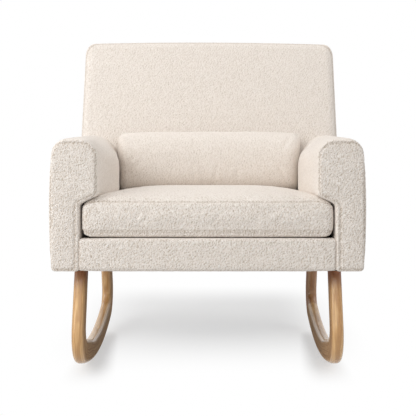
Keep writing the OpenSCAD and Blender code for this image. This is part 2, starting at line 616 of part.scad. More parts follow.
// Lumbar pillow: a full front and a flatter rear that lies against the back.
pillow_half = [pillow_w / 2, pillow_h / 2];
pillow_sink = 13.6;   // how far the pillow's foot sinks behind the seat cushion's rear edge
pillow_foot_z = deck_z(back_face_v, -cushion_t) - pillow_sink;
pillow_draw = 4;
function pillow_layers(inset) =
    let (s = 1 - inset / pillow_half[1], f = pillow_front_bulge - inset, r = pillow_rear_bulge - inset)
    [[0, -r], [0.45 * s, -r], [0.8 * s, -0.82 * r], [0.93 * s, -0.5 * r], [0.985 * s, -0.2 * r], [s, 0],
     [0.99 * s, 0.12 * f], [0.95 * s, 0.34 * f], [0.86 * s, 0.58 * f], [0.7 * s, 0.8 * f],
     [0.48 * s, 0.94 * f], [0.22 * s, 0.99 * f], [0, f]];
module pillow_solid(inset) translate([0, front_plane(pillow_foot_z), pillow_foot_z])
    rotate([90 - back_recline, 0, 0]) translate([0, pillow_half[1], pillow_rear_bulge + rest_gap])
        soft_solid(pillow_half, pillow_draw, pillow_layers(inset));
module lumbar_pillow_filling() color("white") pillow_solid(cover_t);
module lumbar_pillow_cover() fabric() difference() {
    pillow_solid(0);
    pillow_solid(cover_t);
}

place() mirror([1, 0, 0]) runner();  // runner_left
place() runner();  // runner_right
place() mirror([1, 0, 0]) front_leg();  // front_leg_left
place() front_leg();  // front_leg_right
place() mirror([1, 0, 0]) rear_leg();  // rear_leg_left
place() rear_leg();  // rear_leg_right
place() mirror([1, 0, 0]) side_rail();  // side_rail_left
place() side_rail();  // side_rail_right
place() front_rail();
place() seat_rail();
place() rear_rail();
place() corner_blocks();
place() mirror([1, 0, 0]) arm_post();  // arm_post_left
place() arm_post();  // arm_post_right
place() mirror([1, 0, 0]) arm_rail();  // arm_rail_left
place() arm_rail();  // arm_rail_right
place() mirror([1, 0, 0]) arm_boards();  // arm_boards_left
place() arm_boards();  // arm_boards_right
place() mirror([1, 0, 0]) back_post();  // back_post_left
place() back_post();  // back_post_right
place() back_top_rail();
place() back_lumbar_rail();
place() seat_springs();
place() spring_clips();
place() back_webbing_across();
place() back_webbing_upright();
place() deck_felt();
place() deck_foam();
place() deck_cloth();
place() mirror([1, 0, 0]) arm_foam();  // arm_foam_left
place() arm_foam();  // arm_foam_right
place() mirror([1, 0, 0]) arm_cover();  // arm_cover_left
place() arm_cover();  // arm_cover_right
place() front_rail_foam();
place() front_rail_cover();
place() back_foam();
place() back_cover();
place() back_board();
place() outside_back_cover();
place() dust_cover();
place() seat_cushion_foam();
place() seat_cushion_cover();
place() lumbar_pillow_filling();
place() lumbar_pillow_cover();
place() leg_bolts();
place() leg_washers();
place() leg_inserts();
place() frame_screws();
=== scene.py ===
# Upholstered rocking chair: a body covered in looped cream fabric on two bent oak rocker loops.
# Metres. +X is to the right seen from the front, -Y is the front, +Z is up, and the floor is at 0.
import math

import bpy
import numpy as np
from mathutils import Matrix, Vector
from mathutils.bvhtree import BVHTree


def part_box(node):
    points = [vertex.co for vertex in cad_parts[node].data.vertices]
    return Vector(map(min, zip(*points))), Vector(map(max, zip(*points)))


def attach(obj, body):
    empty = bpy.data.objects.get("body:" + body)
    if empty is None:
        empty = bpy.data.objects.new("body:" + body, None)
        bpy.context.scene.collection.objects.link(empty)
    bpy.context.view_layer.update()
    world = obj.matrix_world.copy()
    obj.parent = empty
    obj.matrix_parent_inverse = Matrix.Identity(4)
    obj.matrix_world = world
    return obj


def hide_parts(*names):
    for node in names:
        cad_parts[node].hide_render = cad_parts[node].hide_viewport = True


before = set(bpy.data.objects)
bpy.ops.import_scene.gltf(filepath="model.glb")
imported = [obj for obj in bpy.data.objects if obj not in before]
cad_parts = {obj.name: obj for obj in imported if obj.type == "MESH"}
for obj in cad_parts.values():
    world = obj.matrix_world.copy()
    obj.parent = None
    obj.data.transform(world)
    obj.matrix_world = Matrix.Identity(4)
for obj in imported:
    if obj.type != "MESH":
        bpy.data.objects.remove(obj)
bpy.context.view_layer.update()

# Places read from the frame
ARM_LOW, ARM_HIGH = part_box("arm_cover_right")
FRONT_Y = ARM_LOW.y
ARM_OUT_X = ARM_HIGH.x
PAD_IN_X = ARM_LOW.x
ARM_TOP_Z = ARM_HIGH.z
UNDERSIDE_Z = ARM_LOW.z
RAIL_LOW, RAIL_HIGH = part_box("front_rail_cover")
PANEL_IN_X = RAIL_HIGH.x
SIDE_RAIL_TOP_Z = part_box("side_rail_right")[1].z
BACK_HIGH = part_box("back_cover")[1]
BACK_OUT_X = BACK_HIGH.x
OUTSIDE_BACK_LOW, OUTSIDE_BACK_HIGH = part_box("outside_back_cover")
PILLOW_LOW, PILLOW_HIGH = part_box("lumbar_pillow_cover")
RUNNER_LOW, RUNNER_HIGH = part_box("runner_right")
LEG_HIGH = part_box("rear_leg_right")[1]
FRONT_LEG_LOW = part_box("front_leg_right")[0]
DECK_LOW, DECK_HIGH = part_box("deck_cloth")
DUST_LOW, DUST_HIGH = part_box("dust_cover")

# Leans of the chair's planes
BACK_LEAN = math.radians(19)
REAR_LEAN = math.radians(9.5)
TOP_FALL = math.radians(12)
DECK_SLOPE = math.radians(3)
BACK_FOAM = 0.0465
COVER = 0.0025
BACK_FACE_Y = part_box("back_post_right")[0].y - BACK_FOAM / math.cos(BACK_LEAN)
REAR_BOTTOM_Y = OUTSIDE_BACK_LOW.y + COVER / math.cos(REAR_LEAN)
BACK_TOP_Z = BACK_HIGH.z + 0.0049

# Upholstery: the looped pile, and how fine the skins are
PILE_PITCH = 0.0056
PILE_HEIGHT = 0.0008
MESH_PITCH = 0.0026
FULL_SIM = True


def back_plane(z, depth=0.0):
    """Y of the back's front face at a height, a depth behind the face."""
    return BACK_FACE_Y + (z - SIDE_RAIL_TOP_Z) * math.tan(BACK_LEAN) + depth / math.cos(BACK_LEAN)


def rear_plane(z, depth=0.0):
    """Y of the chair's rear face at a height, a depth ahead of the face."""
    return REAR_BOTTOM_Y + (z - UNDERSIDE_Z) * math.tan(REAR_LEAN) - depth / math.cos(REAR_LEAN)


DECK_FRONT_Z = DECK_HIGH.z + (DECK_LOW.y - FRONT_Y) * math.tan(DECK_SLOPE)


def deck_z(y):
    """Height of the seat deck at a depth."""
    return DECK_FRONT_Z - (y - FRONT_Y) * math.tan(DECK_SLOPE)


def smoothstep(t):
    t = np.clip(t, 0.0, 1.0)
    return t * t * (3 - 2 * t)


# Node helper and colours
def add(tree, kind, inputs=(), stops=(), **settings):
    """Adds a node. inputs are its sockets' values, by name or in their order, and settings its properties.

    A node or a socket as a value is linked. stops are the places and hex colours along a colour ramp.
    A shader node's kind is given without its prefix.
    """
    node = tree.nodes.new(kind if "Node" in kind else "ShaderNode" + kind)
    for name, value in settings.items():
        setattr(node, name, value)
    for name, value in (inputs if isinstance(inputs, dict) else dict(enumerate(inputs))).items():
        if isinstance(value, bpy.types.Node):
            value = value.outputs[0]
        if isinstance(value, bpy.types.NodeSocket):
            tree.links.new(value, node.inputs[name])
        else:
            node.inputs[name].default_value = value
    if stops:
        marks = node.color_ramp.elements
        for mark, (position, hex_code) in zip(marks, (stops[0], stops[-1])):
            mark.position, mark.color = position, colour(hex_code)
        for position, hex_code in stops[1:-1]:
            marks.new(position).color = colour(hex_code)
    return node


def colour(hex_code):
    """The linear RGBA of an sRGB hex colour."""
    parts = [int(hex_code[i:i + 2], 16) / 255 for i in (1, 3, 5)]
    return tuple(p / 12.92 if p <= 0.04045 else ((p + 0.055) / 1.055) ** 2.4 for p in parts) + (1.0,)


def new_material(name):
    material = bpy.data.materials.new(name)
    material.use_nodes = True
    material.node_tree.nodes.clear()
    return material, material.node_tree


def finish_surface(tree, settings, height=None, distance=0.001, strength=1.0):
    """Closes a material: a principled surface, and a bump of that height where it is given."""
    if height is not None:
        settings["Normal"] = add(tree, "Bump", {"Strength": strength, "Distance": distance, "Height": height})
    surface = add(tree, "BsdfPrincipled", settings)
    add(tree, "OutputMaterial", {"Surface": surface})


# Counts to the metre: the loops of the bouclé lie 4.5 mm apart and its yarns 2 mm
LOOPS_PER_M = 222.0
DRIFTS_PER_M = 120.0
YARNS_PER_M = 520.0
# Stray fibres are finer than the render can show, and are drawn as coarse as they need to show
FIBRES_PER_M = 1100.0
# How far loops curl over one another, how far each loop's painted shade is shifted to its lower right, and
# how high the loops stand, in metres
LOOP_CURL = 0.006
PAINTED_SHADE_SHIFT = (0.0017, 0.0005, -0.0009)
LOOP_RELIEF = 0.0032


def boucle_wool(name, tip, middle, hollow):
    """Bouclé of wool and cotton: the tips of curled loops are painted pale, as painted highlights, over
    hollows painted warmer and darker, as painted shade.
    """
    material, tree = new_material(name)
    place = add(tree, "TexCoord").outputs["Object"]
    pile, seam, nap = (add(tree, "Attribute", attribute_name=kept).outputs["Fac"]
                       for kept in ("pile", "seam", "nap"))
    drift = add(tree, "TexNoise", {"Vector": place, "Scale": DRIFTS_PER_M, "Detail": 1.0}).outputs["Color"]
    shift = add(tree, "VectorMath", {0: drift, "Scale": LOOP_CURL}, operation="SCALE")
    curled = add(tree, "VectorMath", (place, shift), operation="ADD")
    loops = add(tree, "TexNoise", {"Vector": curled, "Scale": LOOPS_PER_M, "Detail": 1.0})
    # Painted shade and highlight: each loop is darkened on its lower right and lightened on its upper left,
    # as if lit from there
    aside = add(tree, "VectorMath", (curled, PAINTED_SHADE_SHIFT), operation="ADD")
    beside = add(tree, "TexNoise", {"Vector": aside, "Scale": LOOPS_PER_M, "Detail": 1.0})
    painted_loop_shade = add(tree, "Math", (loops, beside), operation="SUBTRACT")
    # Single yarns and stray fibres roughen the loops
    yarn = add(tree, "TexVoronoi", {"Vector": curled, "Scale": YARNS_PER_M}, feature="SMOOTH_F1")
    fuzz = add(tree, "TexNoise", {"Vector": place, "Scale": FIBRES_PER_M, "Detail": 3.0, "Roughness": 0.7})
    height = add(tree, "Math", (yarn, -0.16, loops), operation="MULTIPLY_ADD")
    height = add(tree, "Math", (fuzz, 0.08, height), operation="MULTIPLY_ADD")
    relief = add(tree, "Math", (height, nap), operation="MULTIPLY")
    # Painted light and shade: tips are pale, hollows darker and seam grooves darkest
    loop_shade_shown = add(tree, "Math", (painted_loop_shade, nap), operation="MULTIPLY")
    hollow_shade = add(tree, "Math", (pile, 0.12, 0.44), operation="MULTIPLY_ADD")
    lit = add(tree, "Math", (loop_shade_shown, 1.75, hollow_shade), operation="MULTIPLY_ADD")
    lit = add(tree, "Math", (seam, -0.36, lit), operation="MULTIPLY_ADD")
    tint = add(tree, "ValToRGB", (lit,), stops=((0.0, hollow), (0.5, middle), (1.0, tip)))
    finish_surface(tree, {
        "Base Color": tint, "Roughness": 0.95, "Specular IOR Level": 0.2,
        "Sheen Weight": 0.15, "Sheen Roughness": 0.5,
    }, relief, LOOP_RELIEF, 1.0)
    return material


def lacquered_oak(name):
    """European oak, steam bent and lacquered in satin: long pale grain, dark pores and a soft gloss."""
    material, tree = new_material(name)
    place = add(tree, "Attribute", attribute_name="bar_place").outputs["Vector"]
    # Growth rings about 10 mm apart run along the bar, some 30 times as long as they are wide
    long_way = add(tree, "Mapping", {"Vector": place, "Scale": (2.2, 60.0, 60.0)})
    waver = add(tree, "Mapping", {"Vector": place, "Scale": (5.0, 26.0, 26.0)})
    rings = add(tree, "TexNoise", {"Vector": long_way, "Scale": 1.6, "Detail": 3.0, "Distortion": 0.6})
    bands = add(tree, "TexWave", {
        "Vector": waver, "Scale": 1.7, "Distortion": 5.0, "Detail": 2.0, "Detail Scale": 1.2,
    }, bands_direction="Y")
    grain = add(tree, "Math", (bands.outputs["Fac"], 0.35, rings), operation="MULTIPLY_ADD")
    wood = add(tree, "ValToRGB", (grain,), stops=(
        (0.3, "#a77846"), (0.5, "#c79a62"), (0.66, "#ddb47c"), (0.85, "#bb8d58"),
    ))
    # Pores are dark flecks 0.7 mm wide and 17 mm long
    pore_way = add(tree, "Mapping", {"Vector": place, "Scale": (60.0, 1500.0, 1500.0)})
    pores = add(tree, "TexNoise", {"Vector": pore_way, "Scale": 1.0, "Detail": 2.0})
    dark = add(tree, "MapRange", {"Value": pores, "From Min": 0.58, "From Max": 0.72})
    faint = add(tree, "Math", (dark, 0.45), operation="MULTIPLY")
    # The flat sides are painted darker, as painted shade, and stay rough under a thinner lacquer
    across = add(tree, "SeparateXYZ", (place,)).outputs["Z"]
    flat_side = add(tree, "MapRange", {
        "Value": add(tree, "Math", (across,), operation="ABSOLUTE"), "From Min": 0.012, "From Max": 0.017,
        "To Max": 0.55,
    }, interpolation_type="SMOOTHSTEP")
    rough = add(tree, "Math", (flat_side, 0.8, 0.4), operation="MULTIPLY_ADD")
    lacquer = add(tree, "Math", (flat_side, -1.1, 0.55), operation="MULTIPLY_ADD")
    # Painted shade: whole legs are darkened, most the rear right one, and so are the leg tops where the body
    # shades them
    brown = add(tree, "Attribute", attribute_name="brownness").outputs["Fac"]
    # Real dark pores, then painted shade on the flat sides and on the legs
    for share, hex_code in ((faint, "#8a5b30"), (flat_side, "#6f503d"), (brown, "#8a5233")):
        wood = add(tree, "Mix", {0: share, 6: wood, 7: colour(hex_code)}, data_type="RGBA").outputs[2]
    finish_surface(tree, {
        "Base Color": wood, "Roughness": rough, "IOR": 1.45,
        "Coat Weight": lacquer, "Coat Roughness": 0.08, "Coat IOR": 1.5,
    }, dark, -0.00025, 0.6)
    return material


def sawn_timber(name, pale, brown):
    """Pine or hardboard inside the body: planed, uncoated and dull, with growth rings 8 mm apart."""
    material, tree = new_material(name)
    place = add(tree, "TexCoord").outputs["Object"]
    drawn = add(tree, "Mapping", {"Vector": place, "Scale": (30.0, 3.0, 30.0)})
    rings = add(tree, "TexNoise", {
        "Vector": drawn, "Scale": 4.0, "Detail": 4.0, "Distortion": 0.8,
    }).outputs["Fac"]
    tint = add(tree, "ValToRGB", (rings,), stops=((0.3, brown), (0.7, pale)))
    finish_surface(tree, {"Base Color": tint, "Roughness": 0.75}, rings, 0.0004, 0.5)
    return material


def woven_cloth(name, light, dark, thread):
    """Plain-woven cloth or webbing: dull threads over and under at the given spacing."""
    material, tree = new_material(name)
    place = add(tree, "TexCoord").outputs["Object"]
    turns = math.pi / thread
    split = add(tree, "SeparateXYZ", (place,)).outputs
    across = add(tree, "Math", (split["X"], turns), operation="MULTIPLY")
    along = add(tree, "Math", (split["Y"], split["Z"]), operation="ADD")
    along = add(tree, "Math", (along, turns), operation="MULTIPLY")
    over = add(tree, "Math", (across,), operation="SINE")
    under = add(tree, "Math", (along,), operation="SINE")
    weave = add(tree, "Math", (over, under), operation="MULTIPLY")
    blur = add(tree, "TexNoise", {"Vector": place, "Scale": 60.0, "Detail": 3.0})
    mixed = add(tree, "Math", (weave, 0.25, blur), operation="MULTIPLY_ADD")
    tint = add(tree, "ValToRGB", (mixed,), stops=((0.25, dark), (0.7, light)))
    finish_surface(tree, {"Base Color": tint, "Roughness": 0.9, "Sheen Weight": 0.1}, weave, 0.0003, 0.6)
    return material


def needled_felt(name, light, dark, tuft):
    """Grey felt of tangled fibres, with tufts of the given size: soft, mottled and without shine."""
    material, tree = new_material(name)
    place = add(tree, "TexCoord").outputs["Object"]
    tufts = add(tree, "TexVoronoi", {"Vector": place, "Scale": 1 / tuft}).outputs["Distance"]
    cloud = add(tree, "TexNoise", {"Vector": place, "Scale": 30.0, "Detail": 4.0})
    mixed = add(tree, "Math", (tufts, 0.5, cloud), operation="MULTIPLY_ADD")
    tint = add(tree, "ValToRGB", (mixed,), stops=((0.4, dark), (0.9, light)))
    finish_surface(tree, {"Base Color": tint, "Roughness": 0.95}, tufts, 0.0005, 0.7)
    return material


def plated_steel(name, dull, bright, roughness):
    """Zinc-plated or drawn steel: bright metal with the faint, 2 mm mottling of the plating bath."""
    material, tree = new_material(name)
    place = add(tree, "TexCoord").outputs["Object"]
    cloud = add(tree, "TexNoise", {"Vector": place, "Scale": 500.0, "Detail": 3.0}).outputs["Fac"]
    rough = add(tree, "MapRange", {
        "Value": cloud, "To Min": roughness - 0.06, "To Max": roughness + 0.08,
    })
    tint = add(tree, "ValToRGB", (cloud,), stops=((0.3, dull), (0.7, bright)))
    finish_surface(tree, {"Base Color": tint, "Metallic": 1.0, "Roughness": rough})
    return material


BOUCLE = boucle_wool("boucle_wool", "#f8f3ed", "#e5dcd3", "#b5a797")
OAK = lacquered_oak("bent_oak_satin_lacquer")
PINE = sawn_timber("planed_pine", "#dcc08d", "#c29c63")
HARDBOARD = sawn_timber("pressed_hardboard", "#6e4c30", "#5a3c25")
PLATFORM = woven_cloth("cotton_platform_cloth", "#d6cebf", "#bdb4a4", 0.0016)
WEBBING = woven_cloth("polypropylene_webbing", "#4a4a4c", "#2e2e30", 0.003)
DUST = woven_cloth("spunbonded_dust_cloth", "#2c2c2f", "#1b1b1d", 0.0014)
FELT = needled_felt("grey_needled_felt", "#86888c", "#5d5f63", 0.0008)
ZINC = plated_steel("zinc_plated_steel", "#b9bcc0", "#d5d8db", 0.32)
WIRE = plated_steel("drawn_spring_steel", "#6f7276", "#8d9094", 0.38)


# Meshes
def mesh_object(name, points, faces, material=None):
    mesh = bpy.data.meshes.new(name)
    mesh.from_pydata([tuple(map(float, p)) for p in points], [], faces)
    mesh.validate()
    made = bpy.data.objects.new(name, mesh)
    bpy.context.scene.collection.objects.link(made)
    if material:
        mesh.materials.append(material)
    return made


def corner_arc(before, point, after, radius, steps):
    """Points that round one corner of an outline, a radius below 0 meaning a hollow corner."""
    before, point, after = (np.array(p, float) for p in (before, point, after))
    u, w = before - point, after - point
    u, w = u / np.linalg.norm(u), w / np.linalg.norm(w)
    half = math.acos(np.clip(u @ w, -1, 1)) / 2
    centre = point + (u + w) / np.linalg.norm(u + w) * abs(radius) / math.sin(half)
    start = point + u * abs(radius) / math.tan(half) - centre
    end = point + w * abs(radius) / math.tan(half) - centre
    turn = math.atan2(start[0] * end[1] - start[1] * end[0], start @ end)
    first = math.atan2(start[1], start[0])
    angles = [first + turn * k / steps for k in range(steps + 1)]
    return [centre + abs(radius) * np.array([math.cos(a), math.sin(a)]) for a in angles]


def rounded(corners, radii, steps=8):
    """An outline with its corners rounded, and as many points at any radius."""
    points = []
    for i, (corner, radius) in enumerate(zip(corners, radii)):
        if radius == 0:
            points.append(np.array(corner, float))
        else:
            points += corner_arc(corners[i - 1], corner, corners[(i + 1) % len(corners)], radius, steps)
    return np.array(points)


def moved_in(points, inset):
    """An anticlockwise outline moved inwards, point by point."""
    before, after = np.roll(points, 1, axis=0), np.roll(points, -1, axis=0)
    first, second = points - before, after - points
    first /= np.linalg.norm(first, axis=1)[:, None]
    second /= np.linalg.norm(second, axis=1)[:, None]
    normal = np.stack([-(first + second)[:, 1], (first + second)[:, 0]], axis=1)
    normal /= np.linalg.norm(normal, axis=1)[:, None]
    share = np.clip((normal * np.stack([-first[:, 1], first[:, 0]], axis=1)).sum(1), 0.4, 1)
    return points + normal * inset / share[:, None]


def tube_faces(count, around):
    """The faces of a tube through rings of points, with both ends closed."""
    faces = []
    for k in range(count - 1):
        for j in range(around):
            a, b = k * around + j, k * around + (j + 1) % around
            faces.append((a, b, b + around, a + around))
    faces.append(tuple(range(around))[::-1])
    faces.append(tuple(range((count - 1) * around, count * around)))
    return faces


def loft(name, rings):
    """A closed solid through rings of points, with flat ends."""
    rings = np.array(rings)
    return outwards(mesh_object(name, rings.reshape(-1, 3), tube_faces(*rings.shape[:2])))


def outwards(made):
    """Turns a closed mesh's faces outwards."""
    volume = 0.0
    mesh = made.data
    mesh.calc_loop_triangles()
    co = np.array([v.co for v in mesh.vertices])
    for triangle in mesh.loop_triangles:
        a, b, c = co[list(triangle.vertices)]
        volume += a @ np.cross(b, c)
    if volume < 0:
        mesh.flip_normals()
    return made


def prism(name, outline, axis, low, high):
    """A closed prism of an outline, run along x, y or z."""
    place = {"x": lambda p, t: (t, p[0], p[1]), "y": lambda p, t: (p[0], t, p[1]),
             "z": lambda p, t: (p[0], p[1], t)}[axis]
    return loft(name, [[place(p, t) for p in outline] for t in (low, high)])


def evaluated(made):
    """Replaces an object's mesh by what its modifiers make of it."""
    depsgraph = bpy.context.evaluated_depsgraph_get()
    mesh = bpy.data.meshes.new_from_object(made.evaluated_get(depsgraph), depsgraph=depsgraph)
    mesh.name = made.name
    old = made.data
    made.modifiers.clear()
    made.data = mesh
    bpy.data.meshes.remove(old)
    mesh.polygons.foreach_set("use_smooth", np.ones(len(mesh.polygons), bool))
    return made


def meet(first, *others):
    """The first solid cut down to what it shares with the others."""
    for other in others:
        step = first.modifiers.new("meet", "BOOLEAN")
        step.operation, step.solver, step.object = "INTERSECT", "EXACT", other
    evaluated(first)
    for other in others:
        bpy.data.objects.remove(other)
    return first


def remeshed(made, pitch, smooth=6):
    """An even, closed skin of small quads over a solid, with its creases softened."""
    skin = made.modifiers.new("skin", "REMESH")
    skin.mode, skin.voxel_size = "VOXEL", pitch
    if smooth:
        ease = made.modifiers.new("ease", "SMOOTH")
        ease.factor, ease.iterations = 0.5, smooth
    return evaluated(made)


def coordinates(made):
    co = np.zeros(len(made.data.vertices) * 3, np.float32)
    made.data.vertices.foreach_get("co", co)
    return co.reshape(-1, 3).astype(float)


def set_coordinates(made, co):
    made.data.vertices.foreach_set("co", co.astype(np.float32).ravel())
    made.data.update()


def plumped(made, pressure, cap, pitch=0.006):
    """Cloth sewn round a filling: pressure blows up the skin, and no point travels further than the cap."""
    remeshed(made, pitch, 3)
    if not FULL_SIM:
        return made
    rest = coordinates(made)
    cloth = made.modifiers.new("cloth", "CLOTH")
    for name, value in {
        "quality": 4, "mass": 0.4, "tension_stiffness": 30, "compression_stiffness": 30,
        "shear_stiffness": 12, "bending_stiffness": 2,
        "use_pressure": True, "uniform_pressure_force": pressure,
    }.items():
        setattr(cloth.settings, name, value)
    cloth.settings.effector_weights.gravity = 0
    cloth.collision_settings.use_collision = False
    scene = bpy.context.scene
    for step in range(1, 21):
        scene.frame_set(step)
    depsgraph = bpy.context.evaluated_depsgraph_get()
    blown = made.evaluated_get(depsgraph).to_mesh()
    co = np.zeros(len(blown.vertices) * 3, np.float32)
    blown.vertices.foreach_get("co", co)
    travel = co.reshape(-1, 3) - rest
    made.evaluated_get(depsgraph).to_mesh_clear()
    made.modifiers.clear()
    scene.frame_set(1)
    far = np.linalg.norm(travel, axis=1)
    travel *= (np.minimum(far, cap) / np.maximum(far, 1e-9))[:, None]
    set_coordinates(made, rest + travel)
    return made


# Looped pile and seams, laid on a skin by geometry nodes
def pile_tree():
    """Seams pull a skin in, filling swells it between them, and curled loops of yarn stand on it."""
    tree = bpy.data.node_groups.new("looped_pile", "GeometryNodeTree")
    sizes = ("Swell", "Swell reach", "Seam depth", "Seam width", "Loop size", "Loop height", "Nap")
    for name, kind in (("Skin", "Geometry"), ("Seams", "Object"), *((size, "Float") for size in sizes),
                       ("Fabric", "Material")):
        tree.interface.new_socket(name, in_out="INPUT", socket_type="NodeSocket" + kind)
    tree.interface.new_socket("Cover", in_out="OUTPUT", socket_type="NodeSocketGeometry")
    given = tree.nodes.new("NodeGroupInput").outputs
    place = add(tree, "GeometryNodeInputPosition")
    normal = add(tree, "GeometryNodeInputNormal")
    # A seam's groove is 1 in its middle, and the swell is full a reach away from it
    seams = add(tree, "GeometryNodeObjectInfo", {"Object": given["Seams"]}, transform_space="ORIGINAL")
    distance = add(tree, "GeometryNodeProximity", {
        "Geometry": seams.outputs["Geometry"],
    }, target_element="EDGES").outputs["Distance"]
    groove = add(tree, "Math", (distance, given["Seam width"]), operation="DIVIDE")
    groove = add(tree, "Math", (groove, 2.0), operation="POWER")
    groove = add(tree, "Math", (groove, -1.0), operation="MULTIPLY")
    groove = add(tree, "Math", (groove,), operation="EXPONENT")
    held = add(tree, "Math", (distance, given["Swell reach"]), operation="DIVIDE")
    held = add(tree, "Math", (held, -1.0), operation="MULTIPLY")
    held = add(tree, "Math", (held,), operation="EXPONENT")
    swell = add(tree, "Math", (1.0, held), operation="SUBTRACT")
    # Loops are beads of yarn with curled ridges between them
    per_metre = add(tree, "Math", (1.0, given["Loop size"]), operation="DIVIDE")
    coarse = add(tree, "Math", (per_metre, 0.55), operation="MULTIPLY")
    drift = add(tree, "TexNoise", {"Vector": place, "Scale": coarse, "Detail": 1.0})
    curl = add(tree, "Math", (given["Loop size"], 1.6), operation="MULTIPLY")
    shift = add(tree, "VectorMath", {0: drift.outputs["Color"], "Scale": curl}, operation="SCALE")
    curled = add(tree, "VectorMath", (place, shift), operation="ADD")
    bead = add(tree, "TexVoronoi", {
        "Vector": curled, "Scale": per_metre, "Smoothness": 0.35,
    }, feature="SMOOTH_F1")
    dome = add(tree, "Math", (bead, 1.5), operation="MULTIPLY")
    dome = add(tree, "Math", (1.0, dome), operation="SUBTRACT")
    dome = add(tree, "Math", (dome, 0.75), operation="MULTIPLY")
    medium = add(tree, "Math", (per_metre, 0.75), operation="MULTIPLY")
    worm = add(tree, "TexNoise", {"Vector": curled, "Scale": medium, "Detail": 1.0})
    ridge = add(tree, "Math", (worm, 0.5), operation="SUBTRACT")
    ridge = add(tree, "Math", (ridge,), operation="ABSOLUTE")
    ridge = add(tree, "Math", (ridge, 5.0), operation="MULTIPLY")
    ridge = add(tree, "Math", (1.0, ridge), operation="SUBTRACT")
    loops = add(tree, "Math", (ridge, 0.45, dome), operation="MULTIPLY_ADD")
    loops = add(tree, "Clamp", (loops,))
    # The pile lies flatter in a seam
    flat = add(tree, "Math", (groove, 0.6), operation="MULTIPLY")
    flat = add(tree, "Math", (1.0, flat), operation="SUBTRACT")
    tallest = add(tree, "Math", (given["Loop height"], flat), operation="MULTIPLY")
    lift = add(tree, "Math", (loops, 0.5), operation="SUBTRACT")
    lift = add(tree, "Math", (lift, tallest), operation="MULTIPLY")
    rise = add(tree, "Math", (swell, given["Swell"]), operation="MULTIPLY")
    rise = add(tree, "Math", (rise, lift), operation="ADD")
    sunk = add(tree, "Math", (groove, given["Seam depth"]), operation="MULTIPLY")
    rise = add(tree, "Math", (rise, sunk), operation="SUBTRACT")
    offset = add(tree, "VectorMath", {0: normal, "Scale": rise}, operation="SCALE")
    cover = add(tree, "GeometryNodeSetPosition", {"Geometry": given["Skin"], "Offset": offset})
    # Loop heights, flattened in seams, set the painted shade of the hollows; the painted loop shade and the
    # bump show most on faces turned to the front or back, and less on level and side faces
    standing = add(tree, "Math", (groove, 0.75), operation="MULTIPLY")
    standing = add(tree, "Math", (1.0, standing), operation="SUBTRACT")
    standing = add(tree, "Math", (loops, standing), operation="MULTIPLY")
    facing = add(tree, "SeparateXYZ", (normal,)).outputs["Y"]
    facing = add(tree, "Math", (facing,), operation="ABSOLUTE")
    facing = add(tree, "Math", (facing, 1.8), operation="POWER")
    facing = add(tree, "Math", (facing, 0.68, 0.32), operation="MULTIPLY_ADD")
    shown = add(tree, "Math", (given["Nap"], facing), operation="MULTIPLY")
    for name, value in (("pile", standing), ("seam", groove), ("nap", shown)):
        cover = add(tree, "GeometryNodeStoreNamedAttribute", {
            "Geometry": cover, "Name": name, "Value": value,
        }, data_type="FLOAT", domain="POINT")
    real = add(tree, "GeometryNodeRealizeInstances", {"Geometry": cover})
    dressed = add(tree, "GeometryNodeSetMaterial", {"Geometry": real, "Material": given["Fabric"]})
    add(tree, "NodeGroupOutput", {"Cover": dressed})
    return tree


PILE = pile_tree()


def skin_tree(made):
    return BVHTree.FromObject(made, bpy.context.evaluated_depsgraph_get())


def cast(made, line, direction=(0, 1, 0)):
    """A line dropped on a skin along a direction, without the points that miss it."""
    tree = skin_tree(made)
    hits = [tree.ray_cast(Vector(p), Vector(direction))[0] for p in line]
    return [tuple(hit) for hit in hits if hit is not None]


def closest(made, line):
    """A line moved to the nearest places of a skin."""
    tree = skin_tree(made)
    return [tuple(tree.find_nearest(Vector(p))[0]) for p in line]


def dense(line, step=0.01):
    """A closed line with points no further apart than a step."""
    points = []
    for a, b in zip(line, list(line[1:]) + [line[0]]):
        a, b = np.array(a), np.array(b)
        count = max(1, int(np.linalg.norm(b - a) / step))
        points += [tuple(a + (b - a) * k / count) for k in range(count)]
    return points


def seam_lines(name, lines):
    """The seams of one cover as a mesh of edges, which isn't shown."""
    points, edges = [], []
    for line, closed in lines:
        start = len(points)
        points += [tuple(map(float, p)) for p in line]
        edges += [(start + k, start + k + 1) for k in range(len(line) - 1)]
        if closed:
            edges.append((start + len(line) - 1, start))
    mesh = bpy.data.meshes.new(name)
    mesh.from_pydata(points, edges, [])
    made = bpy.data.objects.new(name, mesh)
    bpy.context.scene.collection.objects.link(made)
    made.hide_render = True
    return made


def covered(made, lines, swell=0.003, reach=0.03, depth=0.0026, width=0.0034, nap=1.0):
    """Lays the looped fabric on a skin, sewn along its seam lines."""
    seams = seam_lines(made.name + "_seams", lines)
    pile = made.modifiers.new("pile", "NODES")
    pile.node_group = PILE
    values = {"Seams": seams, "Swell": swell, "Swell reach": reach, "Seam depth": depth, "Seam width": width,
              "Loop size": PILE_PITCH, "Loop height": PILE_HEIGHT, "Nap": nap, "Fabric": BOUCLE}
    for item in PILE.interface.items_tree:
        if item.in_out == "INPUT" and item.name in values:
            pile[item.identifier] = values[item.name]
    evaluated(made)
    bpy.data.objects.remove(seams)
    if not made.data.materials:
        made.data.materials.append(BOUCLE)
    return made


def mirrored(made, name):
    """The same piece for the other side of the chair."""
    twin = bpy.data.objects.new(name, made.data.copy())
    bpy.context.scene.collection.objects.link(twin)
    co = coordinates(twin)
    co[:, 0] *= -1
    set_coordinates(twin, co)
    twin.data.flip_normals()
    return twin


def show(made, body, slot_name, *replaced):
    """Hands a finished piece to its body, and hides the nodes that it stands for."""
    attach(made, body)
    if replaced:
        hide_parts(*replaced)
    return made


